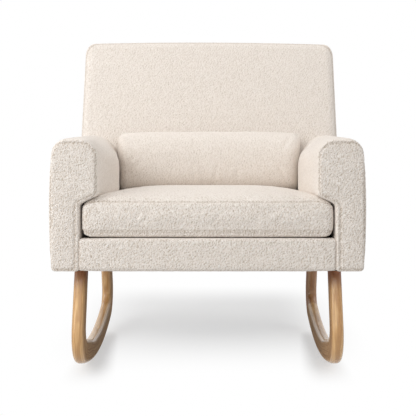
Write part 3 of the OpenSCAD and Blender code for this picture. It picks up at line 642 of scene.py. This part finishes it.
# Arms: a broad soft pad over a narrower panel, boxed at the front
ARM_REACH = 0.034
ARM_EDGE_R = 0.0065
FOOT_Z = UNDERSIDE_Z - 0.0015
ARM_OUTER_R = 0.036
PAD_EDGE_Z = 0.481
PAD_ROOT_Z = 0.4585
PAD_EDGE_R = 0.011
FRONT_INNER_R = 0.044
REAR_INNER_R = 0.085
PAD_SKIN_X = PAD_IN_X + 0.0015
PANEL_SKIN_X = PANEL_IN_X + 0.002
ARM_CROWN_Z = ARM_TOP_Z + 0.001
ARM_FULLEST_Z = 0.45
FRONT_SEAM_INSETS = (0.004, 0.0085, 0.003, 0.003, 0.0105, 0.004)


def arm_outline(y, inner_r, insets=(0, 0, 0, 0, 0, 0)):
    """The arm's section at a depth, anticlockwise from its outer foot.

    The pad's underside follows the deck.
    """
    outer, top, inner, under, panel, foot = insets
    drop = (y - FRONT_Y) * math.tan(DECK_SLOPE)
    corners = [
        (ARM_OUT_X - outer, FOOT_Z + foot),
        (ARM_OUT_X - outer, ARM_CROWN_Z - top),
        (PAD_SKIN_X + inner, ARM_CROWN_Z - top),
        (PAD_SKIN_X + inner, PAD_EDGE_Z - drop + under),
        (PANEL_SKIN_X + panel, PAD_ROOT_Z - drop + under),
        (PANEL_SKIN_X + panel, FOOT_Z + foot),
    ]
    return rounded(corners, [0.009, ARM_OUTER_R - top / 2, inner_r - top / 2, PAD_EDGE_R, -0.012, 0.009])


def arm_inner_r(y):
    return float(FRONT_INNER_R + (REAR_INNER_R - FRONT_INNER_R) * smoothstep((y - FRONT_Y) / 0.36))


def arm_softness(co):
    """The outer side is fullest halfway up, and the pad's inner side halfway back."""
    x, y, z = co.T
    waist = np.where(z < ARM_FULLEST_Z, 0.0048, 0.0066) * np.clip(((z - ARM_FULLEST_Z) / 0.155) ** 2, 0, 1.1)
    waist *= smoothstep((x - 0.34) / 0.05)
    v = y - FRONT_Y
    fullness = 0.015 * smoothstep(v / 0.25) * (1 - smoothstep((v - 0.36) / 0.10))
    fullness *= smoothstep((z - 0.44) / 0.03) * smoothstep((0.62 - z) / 0.05) * smoothstep((0.34 - x) / 0.04)
    return np.stack([x - waist - fullness, y, z], axis=1)


def arm_upholstery():
    turns = [math.radians(a) for a in range(0, 91, 15)]
    rings = []
    for a in turns:
        inset, y = ARM_EDGE_R * (1 - math.sin(a)), FRONT_Y + ARM_EDGE_R * (1 - math.cos(a))
        rings.append([(x, y, z) for x, z in moved_in(arm_outline(y, FRONT_INNER_R), inset)])
    for y in np.linspace(FRONT_Y + ARM_EDGE_R, 0.45, 29)[1:]:
        rings.append([(x, y, z) for x, z in arm_outline(y, arm_inner_r(y))])
    step = SIDE_RAIL_TOP_Z
    side = [(-0.6, 0.2), (rear_plane(0.2, COVER), 0.2), (rear_plane(step, COVER), step),
            (back_plane(step, ARM_REACH), step), (back_plane(0.7, ARM_REACH), 0.7), (-0.6, 0.7)]
    made = meet(loft("arm_upholstery_right", rings), prism("arm_side_view", side, "x", 0.2, 0.5))
    remeshed(made, MESH_PITCH, 3)
    set_coordinates(made, arm_softness(coordinates(made)))
    seam = [(x, FRONT_Y - 0.05, z) for x, z in arm_outline(FRONT_Y, FRONT_INNER_R, FRONT_SEAM_INSETS)]
    seams = [(cast(made, dense(seam)), True)]
    return covered(made, seams, swell=0.0028, depth=0.0022, width=0.0026, nap=1.08)


arm_right = arm_upholstery()
arm_left = mirrored(arm_right, "arm_upholstery_left")
for arm, side in ((arm_right, "right"), (arm_left, "left")):
    show(arm, "chair", "looped_fabric", "arm_cover_" + side, "arm_foam_" + side)


# Front rail: padded over its top edge and sewn to the arms at both ends
def front_rail_upholstery():
    depth = RAIL_HIGH.y - RAIL_LOW.y
    rear = FRONT_Y + depth
    top = RAIL_HIGH.z - 0.0006
    corners = [
        (FRONT_Y, UNDERSIDE_Z), (rear, UNDERSIDE_Z),
        (rear, top - depth * math.tan(DECK_SLOPE)), (FRONT_Y, top),
    ]
    outline = rounded(corners, [0.010, 0.002, 0.002, 0.006])
    turns = [math.radians(a) for a in range(0, 91, 18)]
    end_r = 0.003
    half = PANEL_IN_X + 0.0028
    rings = []
    for side, order in ((-1, turns), (1, turns[::-1])):
        for a in order:
            x = side * (half - end_r * (1 - math.cos(a)))
            rings.append([(x, y, z) for y, z in moved_in(outline, end_r * (1 - math.sin(a)))])
    made = remeshed(loft("front_rail_upholstery", rings), MESH_PITCH, 4)
    ends = [([(s * half, FRONT_Y, UNDERSIDE_Z), (s * half, FRONT_Y, top)], False) for s in (-1, 1)]
    return covered(made, ends, swell=0.0025, depth=0.001, nap=1.12)


front_rail = show(front_rail_upholstery(), "chair", "looped_fabric", "front_rail_cover", "front_rail_foam")


# Back: a leaning wedge with soft front edges and a seam round its front panel
BACK_CORNER_R = 0.046
BACK_EDGE_R = 0.028
BACK_REAR_R = 0.018
BACK_TOP_CROWN = 0.006


def back_crown(x):
    """How far the back's top edge lies below its highest place, which is a little left of the middle."""
    return BACK_TOP_CROWN * ((x + 0.05) / BACK_OUT_X) ** 2


def back_side_outline(inset=0.0):
    fall, lean = math.tan(TOP_FALL), math.tan(REAR_LEAN)
    top_y = back_plane(BACK_TOP_Z)
    rear_z = (BACK_TOP_Z - (REAR_BOTTOM_Y - UNDERSIDE_Z * lean - top_y) * fall) / (1 + lean * fall)
    bottom = SIDE_RAIL_TOP_Z
    corners = [
        (back_plane(bottom), bottom), (rear_plane(bottom, 0.001), bottom),
        (rear_plane(rear_z, 0.001), rear_z), (top_y, BACK_TOP_Z),
    ]
    return moved_in(rounded(corners, [0, 0, BACK_REAR_R, BACK_EDGE_R], 10), inset)


def back_front_outline(inset=0.0):
    half, top = BACK_OUT_X - inset, BACK_TOP_Z - inset
    return rounded([(-half, 0.2), (half, 0.2), (half, top), (-half, top)],
                   [0, 0, BACK_CORNER_R - inset, BACK_CORNER_R - inset], 14)


def back_upholstery():
    side = prism("back_upholstery", back_side_outline(), "x", -0.5, 0.5)
    front = prism("front_view", back_front_outline(), "y", -0.2, 0.6)
    half = BACK_OUT_X
    plan = rounded([(-half, 0), (half, 0), (half, 0.6), (-half, 0.6)], [BACK_EDGE_R, BACK_EDGE_R, 0, 0], 10)
    rings = [[(x, y / math.cos(BACK_LEAN) + back_plane(z), z) for x, y in plan] for z in (0.2, 1.1)]
    made = remeshed(meet(side, front, loft("plan_view", rings)), MESH_PITCH, 8)
    co = coordinates(made)
    co[:, 2] -= (back_crown(co[:, 0]) - 0.0015) * smoothstep((co[:, 2] - 0.75) / 0.15)
    co[:, 0] *= 0.9955 - 0.002 * smoothstep((co[:, 2] - 0.5) / 0.3)
    set_coordinates(made, co)
    seam = [(x * 0.9945, -1.0, z - back_crown(x) + 0.0015 - 0.0025)
            for x, z in dense(list(back_front_outline(0.0045))) if z > 0.3]
    seams = [(cast(made, seam), False)]
    return covered(made, seams, swell=0.0015, reach=0.05, depth=0.0016, width=0.0026, nap=0.6)


back = show(back_upholstery(), "chair", "looped_fabric", "back_cover", "back_foam")


# Outside back: one flat panel tacked over the rear of the frame
def outside_back():
    top, bottom = OUTSIDE_BACK_HIGH.z, UNDERSIDE_Z
    rows = int((top - bottom) / 0.0036)
    columns = int(2 * ARM_OUT_X / 0.0036)
    points, faces = [], []
    for i, z in enumerate(np.linspace(bottom, top, rows)):
        drop = max(0.0, z - (top - BACK_CORNER_R + 0.012))
        half = BACK_OUT_X - 0.004 - (BACK_CORNER_R - math.sqrt(max(BACK_CORNER_R ** 2 - drop ** 2, 0)))
        for x in np.linspace(-half, half, columns):
            edge = min(half - abs(x), z - bottom, top - z)
            proud = 0.0035 * float(smoothstep(edge / 0.012)) - 0.0030
            points.append((x, rear_plane(z) + proud, z))
    for i in range(rows - 1):
        for j in range(columns - 1):
            a = i * columns + j
            faces.append((a, a + columns, a + columns + 1, a + 1))
    made = mesh_object("outside_back_panel", points, faces)
    thick = made.modifiers.new("thick", "SOLIDIFY")
    thick.thickness, thick.offset = 0.003, -1
    if made.data.polygons[0].normal.y < 0:
        made.data.flip_normals()
    evaluated(made)
    heights = np.linspace(bottom + 0.008, top - 0.03, 30)
    rims = [[(side * (BACK_OUT_X - 0.008), rear_plane(z), z) for z in heights] for side in (-1, 1)]
    return covered(made, [(rim, False) for rim in rims], swell=0.0012, reach=0.05, depth=0.0012)


outside = show(outside_back(), "chair", "looped_fabric", "outside_back_cover")


# Seat cushion: boxed foam with a crowned top, rounded corners and two seams round its boxing
CUSHION_FRONT_Y = FRONT_Y + 0.004
CUSHION_T = 0.104
CUSHION_CROWN = 0.023
CUSHION_HALF = PANEL_IN_X - 0.0014
CUSHION_REST = 0.0008
LOWER_SEAM = 0.0135


def cushion_rear_y(height):
    z = deck_z(0.05) + height
    return back_plane(z) - 0.0025


def cushion_plan(inset, height, corner_r=0.013):
    """The cushion's outline at a height above the deck."""
    half, front, rear = CUSHION_HALF - inset, CUSHION_FRONT_Y + inset, cushion_rear_y(height) - inset
    return rounded([(-half, front), (half, front), (half, rear), (-half, rear)],
                   [max(corner_r - inset * 0.5, 0.01)] * 2 + [max(0.026 - inset * 0.5, 0.01)] * 2, 8)


CUSHION_MIDDLE_Y = (CUSHION_FRONT_Y + cushion_rear_y(CUSHION_T)) / 2
CUSHION_HALF_DEPTH = (cushion_rear_y(CUSHION_T) - CUSHION_FRONT_Y) / 2


def cushion_edge(x, y):
    """How far the upper edge lies off its height: pressed down under the arm pads and under the pillow."""
    a, w = abs(x), (y - CUSHION_MIDDLE_Y) / CUSHION_HALF_DEPTH
    return float(-0.002 * smoothstep((a - 0.18) / 0.09) - 0.016 * smoothstep((a - 0.27) / 0.055)
                 - 0.012 * smoothstep((w - 0.78) / 0.22))


def cushion_crown(x, y):
    """How far the top stands above its upper edge."""
    u, w = min(abs(x) / CUSHION_HALF, 1), min(abs(y - CUSHION_MIDDLE_Y) / CUSHION_HALF_DEPTH, 1)
    return CUSHION_CROWN * (1 - u ** 3) * (1 - w ** 3.2) ** 0.8


def cushion_corner(x, y, h):
    """How far the lower corners of the front are rounded up."""
    beside = smoothstep((abs(x) - CUSHION_HALF + 0.018) / 0.018)
    beside = beside * smoothstep((CUSHION_FRONT_Y + 0.09 - y) / 0.07)
    return float(0.011 * beside * smoothstep(1 - h / 0.04))


def seat_cushion():
    edge = 0.007
    turns = [math.radians(a) for a in range(0, 91, 18)]
    levels = [(edge * (1 - math.sin(a)), edge * (1 - math.cos(a))) for a in turns]
    levels += [(0.0005, CUSHION_T * 0.35), (0.0, CUSHION_T * 0.6), (0.001, CUSHION_T - 0.012)]
    rings = []
    for inset, h in levels:
        pressed = float(smoothstep((h / CUSHION_T - 0.2) / 0.8))
        rings.append([
            (x, y, deck_z(y) + CUSHION_REST + h + cushion_edge(x, y) * pressed + cushion_corner(x, y, h))
            for x, y in cushion_plan(inset, h)
        ])
    shoulder = [(0.003, -0.004), (0.008, -0.001)]
    shoulder += [(inset, 0.0) for inset in (0.014, 0.03, 0.06, 0.1, 0.14, 0.18, 0.2)]
    for inset, h in shoulder:
        rings.append([
            (x, y, deck_z(y) + CUSHION_REST + CUSHION_T + h + cushion_edge(x, y) + cushion_crown(x, y))
            for x, y in cushion_plan(inset, CUSHION_T)
        ])
    made = loft("seat_cushion", rings)
    plumped(made, 3.0, 0.003)
    remeshed(made, 0.72 * MESH_PITCH, 3)
    co = coordinates(made)
    co[:, 2] = np.maximum(co[:, 2], deck_z(co[:, 1]) + CUSHION_REST + 0.0006)
    limit = CUSHION_HALF + 0.0004 - 0.0014 * smoothstep((co[:, 1] - CUSHION_FRONT_Y - 0.025) / 0.06)
    co[:, 0] = np.clip(co[:, 0], -limit, limit)
    co[:, 1] = np.maximum(co[:, 1], CUSHION_FRONT_Y - 0.003)
    set_coordinates(made, co)
    upper = [(x, y, deck_z(y) + CUSHION_REST + CUSHION_T + 0.0015 + cushion_edge(x, y))
             for x, y in dense(list(cushion_plan(0.001, CUSHION_T)))]
    lines = [(closest(made, upper), True)]
    for h in (LOWER_SEAM, LOWER_SEAM + 0.0055):
        lower = [(x, y, deck_z(y) + h) for x, y in dense(list(cushion_plan(0.0, h)))]
        lines.append((closest(made, lower), True))
    return covered(made, lines, swell=0.0008, depth=0.002, width=0.002, nap=1.08)


cushion = show(seat_cushion(), "seat_cushion", "looped_fabric", "seat_cushion_cover", "seat_cushion_foam")


# Lumbar pillow: a full front and a flatter rear, sewn all round, standing on the cushion against the back
PILLOW_HALF_W = PILLOW_HIGH.x
PILLOW_HALF_H = 0.0985
PILLOW_FRONT = 0.070
PILLOW_REAR = 0.022
PILLOW_FOOT_Z = PILLOW_LOW.z - 0.0065


def pillow_place(x, up, out):
    """A point on the pillow, from its middle: across, up along the back, and out from its seam."""
    lift, off = PILLOW_HALF_H + up + 0.001, PILLOW_REAR + 0.003 + out
    return (x, back_plane(PILLOW_FOOT_Z) + lift * math.sin(BACK_LEAN) - off * math.cos(BACK_LEAN),
            PILLOW_FOOT_Z + lift * math.cos(BACK_LEAN) + off * math.sin(BACK_LEAN))


def pillow_outline(inset, corner_steps=8, side_steps=8):
    """The pillow's outline at a distance inside its seam, with its straight sides split up."""
    w, h = PILLOW_HALF_W + 0.002 - 0.42 * inset, PILLOW_HALF_H - 0.001 - inset
    low, high = min(0.024, 0.6 * h), min(0.022, 0.6 * h)
    corners = [(-w + 0.006, -h), (w - 0.006, -h), (w + 0.008, h), (-w - 0.008, h)]
    outline = rounded(corners, [low, low, high, high], corner_steps)
    points = []
    for i, (a, b) in enumerate(zip(outline, np.roll(outline, -1, axis=0))):
        count = side_steps if (i + 1) % (corner_steps + 1) == 0 else 1
        points += [a + (b - a) * k / count for k in range(count)]
    return np.array(points)


def pillow_droop(across, up, inset):
    """How far a point lies below an even shape: the top is fullest in its middle, and the foot spreads."""
    return (0.007 * (across / PILLOW_HALF_W) ** 2 * float(smoothstep(up / PILLOW_HALF_H))
            + 0.4 * inset * max(-up, 0.0) / PILLOW_HALF_H)


PILLOW_CREASES = (
    # across, up, angle in degrees, length, depth
    (-0.222, -0.045, 62, 0.050, 0.0012), (-0.238, -0.030, 80, 0.045, 0.0014),
    (0.020, -0.060, 86, 0.050, 0.0016), (-0.045, -0.058, 97, 0.045, 0.0014),
    (0.220, -0.055, 124, 0.055, 0.0020), (0.085, -0.066, 92, 0.040, 0.0013),
    (0.236, 0.045, 62, 0.035, 0.0014), (-0.232, 0.050, 118, 0.035, 0.0014),
)


def pillow_folds(co):
    """Shallow folds that run into the pillow's corners and up from its foot."""
    centre = np.array(pillow_place(0, 0, 0))
    up = np.array([0, math.sin(BACK_LEAN), math.cos(BACK_LEAN)])
    out = np.array([0, -math.cos(BACK_LEAN), math.sin(BACK_LEAN)])
    local = co - centre
    across, high, forward = co[:, 0], local @ up, local @ out
    sunk = np.zeros(len(co))
    for x, z, angle, length, depth in PILLOW_CREASES:
        c, s = math.cos(math.radians(angle)), math.sin(math.radians(angle))
        along, beside = (across - x) * c + (high - z) * s, -(across - x) * s + (high - z) * c
        beside = beside + 0.15 * along ** 2 / length
        ridge = np.exp(-(beside / 0.006) ** 2) - 0.6 * np.exp(-((np.abs(beside) - 0.013) / 0.007) ** 2)
        sunk += depth * ridge * np.exp(-(along / length) ** 4 * 4)
    # The lower left corner is pushed in
    sunk += 0.013 * np.exp(-((across + 0.25) / 0.045) ** 2 - ((high + 0.065) / 0.05) ** 2)
    front = smoothstep((forward - 0.01) / 0.03)
    return co - out * (sunk * front)[:, None]


def lumbar_pillow():
    layers = [
        (0.080, -1.0), (0.05, -0.97), (0.028, -0.85), (0.013, -0.6), (0.005, -0.3), (0.0, 0.0), (0.002, 0.16),
        (0.008, 0.4), (0.018, 0.61), (0.033, 0.79), (0.052, 0.91), (0.072, 0.97), (0.088, 1.0),
    ]
    rings = []
    for inset, level in layers:
        out = level * (PILLOW_FRONT if level > 0 else PILLOW_REAR)
        rings.append([pillow_place(across, up - pillow_droop(across, up, inset), out)
                      for across, up in pillow_outline(inset)])
    made = loft("lumbar_pillow", rings)
    plumped(made, 3.0, 0.004)
    remeshed(made, MESH_PITCH, 4)
    set_coordinates(made, pillow_folds(coordinates(made)))
    rim = closest(made, [pillow_place(across, up, -0.002) for across, up in pillow_outline(0.0)])
    return covered(made, [(rim, True)], swell=0.0006, depth=0.002, width=0.0026, nap=0.55)


pillow = show(lumbar_pillow(), "lumbar_pillow", "looped_fabric",
              "lumbar_pillow_cover", "lumbar_pillow_filling")


# Deck and dust cover: plain cloths stretched over and under the seat
def cloth_sheet(name, half_w, y0, y1, height, thickness, material):
    """A stretched cloth with a height for each place, and its own thickness."""
    across, along = 96, 72
    xs, ys = np.linspace(-half_w, half_w, across), np.linspace(y0, y1, along)
    points = [(x, y, height(x, y)) for y in ys for x in xs]
    faces = [(i * across + j, i * across + j + 1, (i + 1) * across + j + 1, (i + 1) * across + j)
             for i in range(along - 1) for j in range(across - 1)]
    made = mesh_object(name, points, faces, material)
    thick = made.modifiers.new("thick", "SOLIDIFY")
    thick.thickness, thick.offset = thickness, -1
    return evaluated(made)


SPRING_PITCH = 0.118


def deck_height(x, y):
    ripple = 0.0006 * math.cos(2 * math.pi * x / SPRING_PITCH)
    taut = math.sin(math.pi * (y - DECK_LOW.y) / (DECK_HIGH.y - DECK_LOW.y))
    return deck_z(y) + 0.0002 + ripple * taut - 0.0008


deck = cloth_sheet("deck_cloth_stretched", DECK_HIGH.x + 0.007, DECK_LOW.y, DECK_HIGH.y, deck_height, 0.0012,
                   PLATFORM)
show(deck, "chair", "deck_cloth", "deck_cloth", "deck_foam")


def dust_height(x, y):
    edge = min(DUST_HIGH.x - abs(x), y - DUST_LOW.y, DUST_HIGH.y - y)
    sag = 0.0016 * float(smoothstep(edge / 0.12))
    return UNDERSIDE_Z - 0.0008 - sag + 0.0004 * math.sin(x * 37) * math.sin(y * 29)


dust = cloth_sheet("dust_cover_cloth", DUST_HIGH.x, DUST_LOW.y, DUST_HIGH.y, dust_height, 0.0006, DUST)
show(dust, "chair", "dust_cloth", "dust_cover")

# Rockers: a runner and two bent legs a side, with their grain along the bar
BAR_T = RUNNER_HIGH.x - RUNNER_LOW.x
BAR_B = 0.050
BAR_EDGE = 0.013
RUNNER_R = 1.100
BEND_R = 0.085
LEG_RAKE = math.radians(19)
REST_Y = (FRONT_LEG_LOW.y + LEG_HIGH.y) / 2
ROCKER_LEN = LEG_HIGH.y - FRONT_LEG_LOW.y
REST_FLAT = 0.020
ARC_CENTRE_Z = math.sqrt(RUNNER_R ** 2 - (REST_FLAT / 2) ** 2)
BEND_Y = ROCKER_LEN / 2 - BEND_R
BEND_Z = ARC_CENTRE_Z - math.sqrt((RUNNER_R - BEND_R) ** 2 - BEND_Y ** 2)
RUNNER_HALF = math.asin(BEND_Y / (RUNNER_R - BEND_R))
LEG_SHADE_Z = UNDERSIDE_Z - 0.065


def loop_fullness(y, z):
    """How much fuller the loop's inner side is than a plain bar: most just behind the front bend."""
    ahead = smoothstep((FRONT_LEG_LOW.y + 0.26 - y) / 0.14) * smoothstep((0.16 - z) / 0.07)
    return float(0.003 * smoothstep((0.25 - z) / 0.06) + 0.009 * ahead)


# Painted shade on whole legs, most on the rear right one, which stands in the chair's shade
PAINTED_LEG_SHADE = {"rear_leg_right": 0.6, "rear_leg_left": 0.12, "front_leg_right": 0.08}


def bar(name, path, place, brownness=0.0):
    """A bar swept along stations of a point, a direction outwards and the length so far.

    It keeps each point's place in the wood for the grain, and how much painted shade darkens it.
    """
    b, t = BAR_B / 2, BAR_T / 2
    profile = rounded([(b, -t), (b, t), (-b, t), (-b, -t)], [BAR_EDGE] * 4)
    points, grain = [], []
    for (y, z), (ny, nz), length in path:
        full = loop_fullness(y, z)
        for out, across in profile:
            reach = out if out > 0 else out - full
            points.append(place(across, y + ny * reach, z + nz * reach))
            grain.append((length, out, across))
    made = outwards(mesh_object(name, points, tube_faces(len(path), len(profile)), OAK))
    attribute = made.data.attributes.new("bar_place", "FLOAT_VECTOR", "POINT")
    attribute.data.foreach_set("vector", np.array(grain, np.float32).ravel())
    # Painted shade, darker towards the top of each leg, where the body shades it
    shade_amount = brownness + 0.85 * smoothstep((np.array(points)[:, 2] - LEG_SHADE_Z) / 0.045)
    attribute = made.data.attributes.new("brownness", "FLOAT", "POINT")
    attribute.data.foreach_set("value", np.clip(shade_amount, 0, 1).astype(np.float32))
    flat_from = len(made.data.polygons) - 2
    for index, polygon in enumerate(made.data.polygons):
        polygon.use_smooth = index < flat_from
    return made


def arc_path(centre, radius, start, end, steps, length0, sign=1):
    """Stations along an arc in the loop's plane, with angles from straight down towards the rear."""
    stations = []
    for k in range(steps + 1):
        a = start + (end - start) * k / steps
        direction = (sign * math.sin(a), -math.cos(a))
        stations.append(((centre[0] + direction[0] * radius, centre[1] + direction[1] * radius), direction,
                         length0 + abs(a - start) * radius))
    return stations


def rocker_pieces(side):
    name = "right" if side > 0 else "left"
    middle = side * (RUNNER_LOW.x + RUNNER_HIGH.x) / 2
    offset = 0.37 * side

    def place(across, y, z):
        return middle + across, y, max(z, 0.0)

    line_r = RUNNER_R - BAR_B / 2
    path = arc_path((REST_Y, ARC_CENTRE_Z), line_r, -RUNNER_HALF, RUNNER_HALF, 96, 0)
    runner = bar("rocker_runner_" + name, [(p, n, s + offset) for p, n, s in path], place)
    show(runner, "chair", "rocker_wood", "runner_" + name)
    runner_len = 2 * RUNNER_HALF * line_r
    bend_line = BEND_R - BAR_B / 2
    for sign, end in ((1, "rear"), (-1, "front")):
        bend = arc_path((REST_Y + sign * BEND_Y, BEND_Z), bend_line, RUNNER_HALF, math.pi / 2 + LEG_RAKE, 32,
                        runner_len, sign)
        (y, z), outwards_here, length = bend[-1]
        leg = []
        for k in range(1, 13):
            t = k / 12
            reach = (LEG_HIGH.z - z) / math.cos(LEG_RAKE) * t
            point = (y - sign * math.sin(LEG_RAKE) * reach, z + math.cos(LEG_RAKE) * reach)
            leg.append((point, outwards_here, length + reach))
        node = end + "_leg_" + name
        path = [(p, n, s * sign + offset) for p, n, s in bend + leg]
        show(bar("rocker_" + node, path, place, PAINTED_LEG_SHADE.get(node, 0.0)), "chair", "rocker_wood", node)


for side in (-1, 1):
    rocker_pieces(side)

# Inner pieces keep their shapes and get their real finishes
INNER = {
    PINE: ("side_rail_left", "side_rail_right", "front_rail", "seat_rail", "rear_rail", "corner_blocks",
           "arm_post_left", "arm_post_right", "arm_rail_left", "arm_rail_right",
           "back_post_left", "back_post_right", "back_top_rail", "back_lumbar_rail"),
    HARDBOARD: ("arm_boards_left", "arm_boards_right", "back_board"),
    WEBBING: ("back_webbing_across", "back_webbing_upright"),
    FELT: ("deck_felt",),
    WIRE: ("seat_springs", "spring_clips"),
    ZINC: ("leg_bolts", "leg_washers", "leg_inserts", "frame_screws"),
}
for material, names in INNER.items():
    for name in names:
        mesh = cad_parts[name].data
        mesh.materials.clear()
        mesh.materials.append(material)

# Studio: pale floor, white surroundings, soft light from the upper left
scene = bpy.context.scene
scene.view_settings.view_transform = "Standard"


WHITE = (1, 1, 1, 1)
AMBIENT = 0.37
FLOOR_HALF = 9.0
FLOOR_Z = -0.0004


def background_rays(tree):
    """1 for the rays that show the surroundings themselves, and 0 for those that only light the chair."""
    rays = add(tree, "LightPath").outputs
    seen = add(tree, "Math", (rays["Is Camera Ray"], rays["Is Glossy Ray"]), operation="MAXIMUM")
    return add(tree, "Math", (seen, rays["Is Transmission Ray"]), operation="MAXIMUM")


def studio_floor():
    """Matt white paper sweep: the chair's real soft shadow shows only under and beside it, on paper painted
    darker, and a painted white glow covers the rest.
    """
    material, tree = new_material("paper_sweep")
    place = add(tree, "TexCoord").outputs["Object"]
    split = add(tree, "SeparateXYZ", (place,)).outputs
    ahead = add(tree, "Math", (split["Y"], -1.0), operation="MULTIPLY")
    off_middle = add(tree, "Math", (split["X"],), operation="ABSOLUTE")
    off_runner = add(tree, "Math", (off_middle, 0.315), operation="SUBTRACT")
    off_runner = add(tree, "Math", (off_runner,), operation="ABSOLUTE")
    off_contact = add(tree, "Math", (split["Y"], 0.02), operation="ADD")
    off_contact = add(tree, "Math", (off_contact,), operation="ABSOLUTE")
    # A painted pool of white light covers the paper, except behind, under and close beside the chair
    front, rear, side, beside, along = [
        add(tree, "MapRange", {
            "Value": value, "From Min": start, "From Max": end, "To Min": 1.0, "To Max": 0.0,
        }, interpolation_type="SMOOTHSTEP")
        for value, start, end in (
            (ahead, -0.45, 0.3), (split["Y"], 0.64, 1.06), (off_middle, 0.22, 0.5),
            (off_runner, 0.01, 0.075), (off_contact, 0.15, 0.40),
        )
    ]
    under = add(tree, "Math", (front, rear), operation="MULTIPLY")
    under = add(tree, "Math", (under, side), operation="MULTIPLY")
    near_runner = add(tree, "Math", (beside, along), operation="MULTIPLY")
    near_runner = add(tree, "Math", (near_runner, 0.85), operation="MULTIPLY")
    kept = add(tree, "Math", (under, near_runner), operation="MAXIMUM")
    # There the paper is painted darker, as painted shade, and glows a little, and it still catches the real
    # shadow
    paper = add(tree, "BsdfDiffuse", {"Color": colour("#e6e6e6")})
    shaded = add(tree, "BsdfDiffuse", {"Color": colour("#b6b6b6")})
    lift = add(tree, "Emission", {"Color": WHITE, "Strength": 0.443})
    near = add(tree, "AddShader", (shaded, lift))
    white = add(tree, "Emission", {"Color": WHITE, "Strength": 1.0})
    shown = add(tree, "MixShader", (kept, white, near))
    mixed = add(tree, "MixShader", (background_rays(tree), paper, shown))
    add(tree, "OutputMaterial", {"Surface": mixed})
    corners = [(x * FLOOR_HALF, y * FLOOR_HALF, FLOOR_Z) for x, y in ((-1, -1), (1, -1), (1, 1), (-1, 1))]
    mesh_object("floor", corners, [(0, 1, 2, 3)], material)


def studio_world():
    """Plain white to the camera, and a dimmer, even light on the chair."""
    world = bpy.data.worlds.new("white_studio")
    scene.world = world
    world.use_nodes = True
    tree = world.node_tree
    tree.nodes.clear()
    soft = add(tree, "Background", {"Color": WHITE, "Strength": AMBIENT})
    plain = add(tree, "Background", {"Color": WHITE, "Strength": 1.0})
    sky = add(tree, "MixShader", (background_rays(tree), soft, plain))
    add(tree, "OutputWorld", {"Surface": sky})


def softbox(name, place, size, watts):
    """A large square lamp behind a diffuser, turned to the middle of the chair."""
    lamp = bpy.data.lights.new(name, "AREA")
    lamp.shape, lamp.size, lamp.energy = "SQUARE", size, watts
    made = bpy.data.objects.new(name, lamp)
    scene.collection.objects.link(made)
    made.location = place
    direction = np.array((0, 0, 0.5)) - np.array(place)
    made.rotation_euler = Vector(direction).to_track_quat("-Z", "Y").to_euler()


studio_floor()
studio_world()
for side, place, size, watts in (
    ("key", (-2.2, -2.4, 2.6), 2.0, 44), ("low", (-2.6, -2.0, 1.2), 2.0, 23),
    ("front", (0.0, -3.0, 2.4), 2.0, 18), ("top", (0.0, 0.1, 3.2), 2.4, 12),
    ("left", (-2.8, 0.0, 2.4), 2.2, 23), ("right", (2.6, 0.0, 2.6), 2.2, 30),
):
    softbox(side + "_softbox", place, size, watts)

# Camera: level, 2.3 m ahead of the chair, aimed by its shift
CAMERA_X, CAMERA_DISTANCE, CAMERA_H = 0.020, 2.3, 0.665
camera_data = bpy.data.cameras.new("camera")
camera = bpy.data.objects.new("camera", camera_data)
scene.collection.objects.link(camera)
scene.camera = camera
camera.location = (CAMERA_X, FRONT_Y - CAMERA_DISTANCE, CAMERA_H)
camera.rotation_euler = (math.radians(90), 0, 0)
camera_data.sensor_width = 36
camera_data.lens = 79.1
camera_data.shift_x = -0.018
camera_data.shift_y = -0.2067
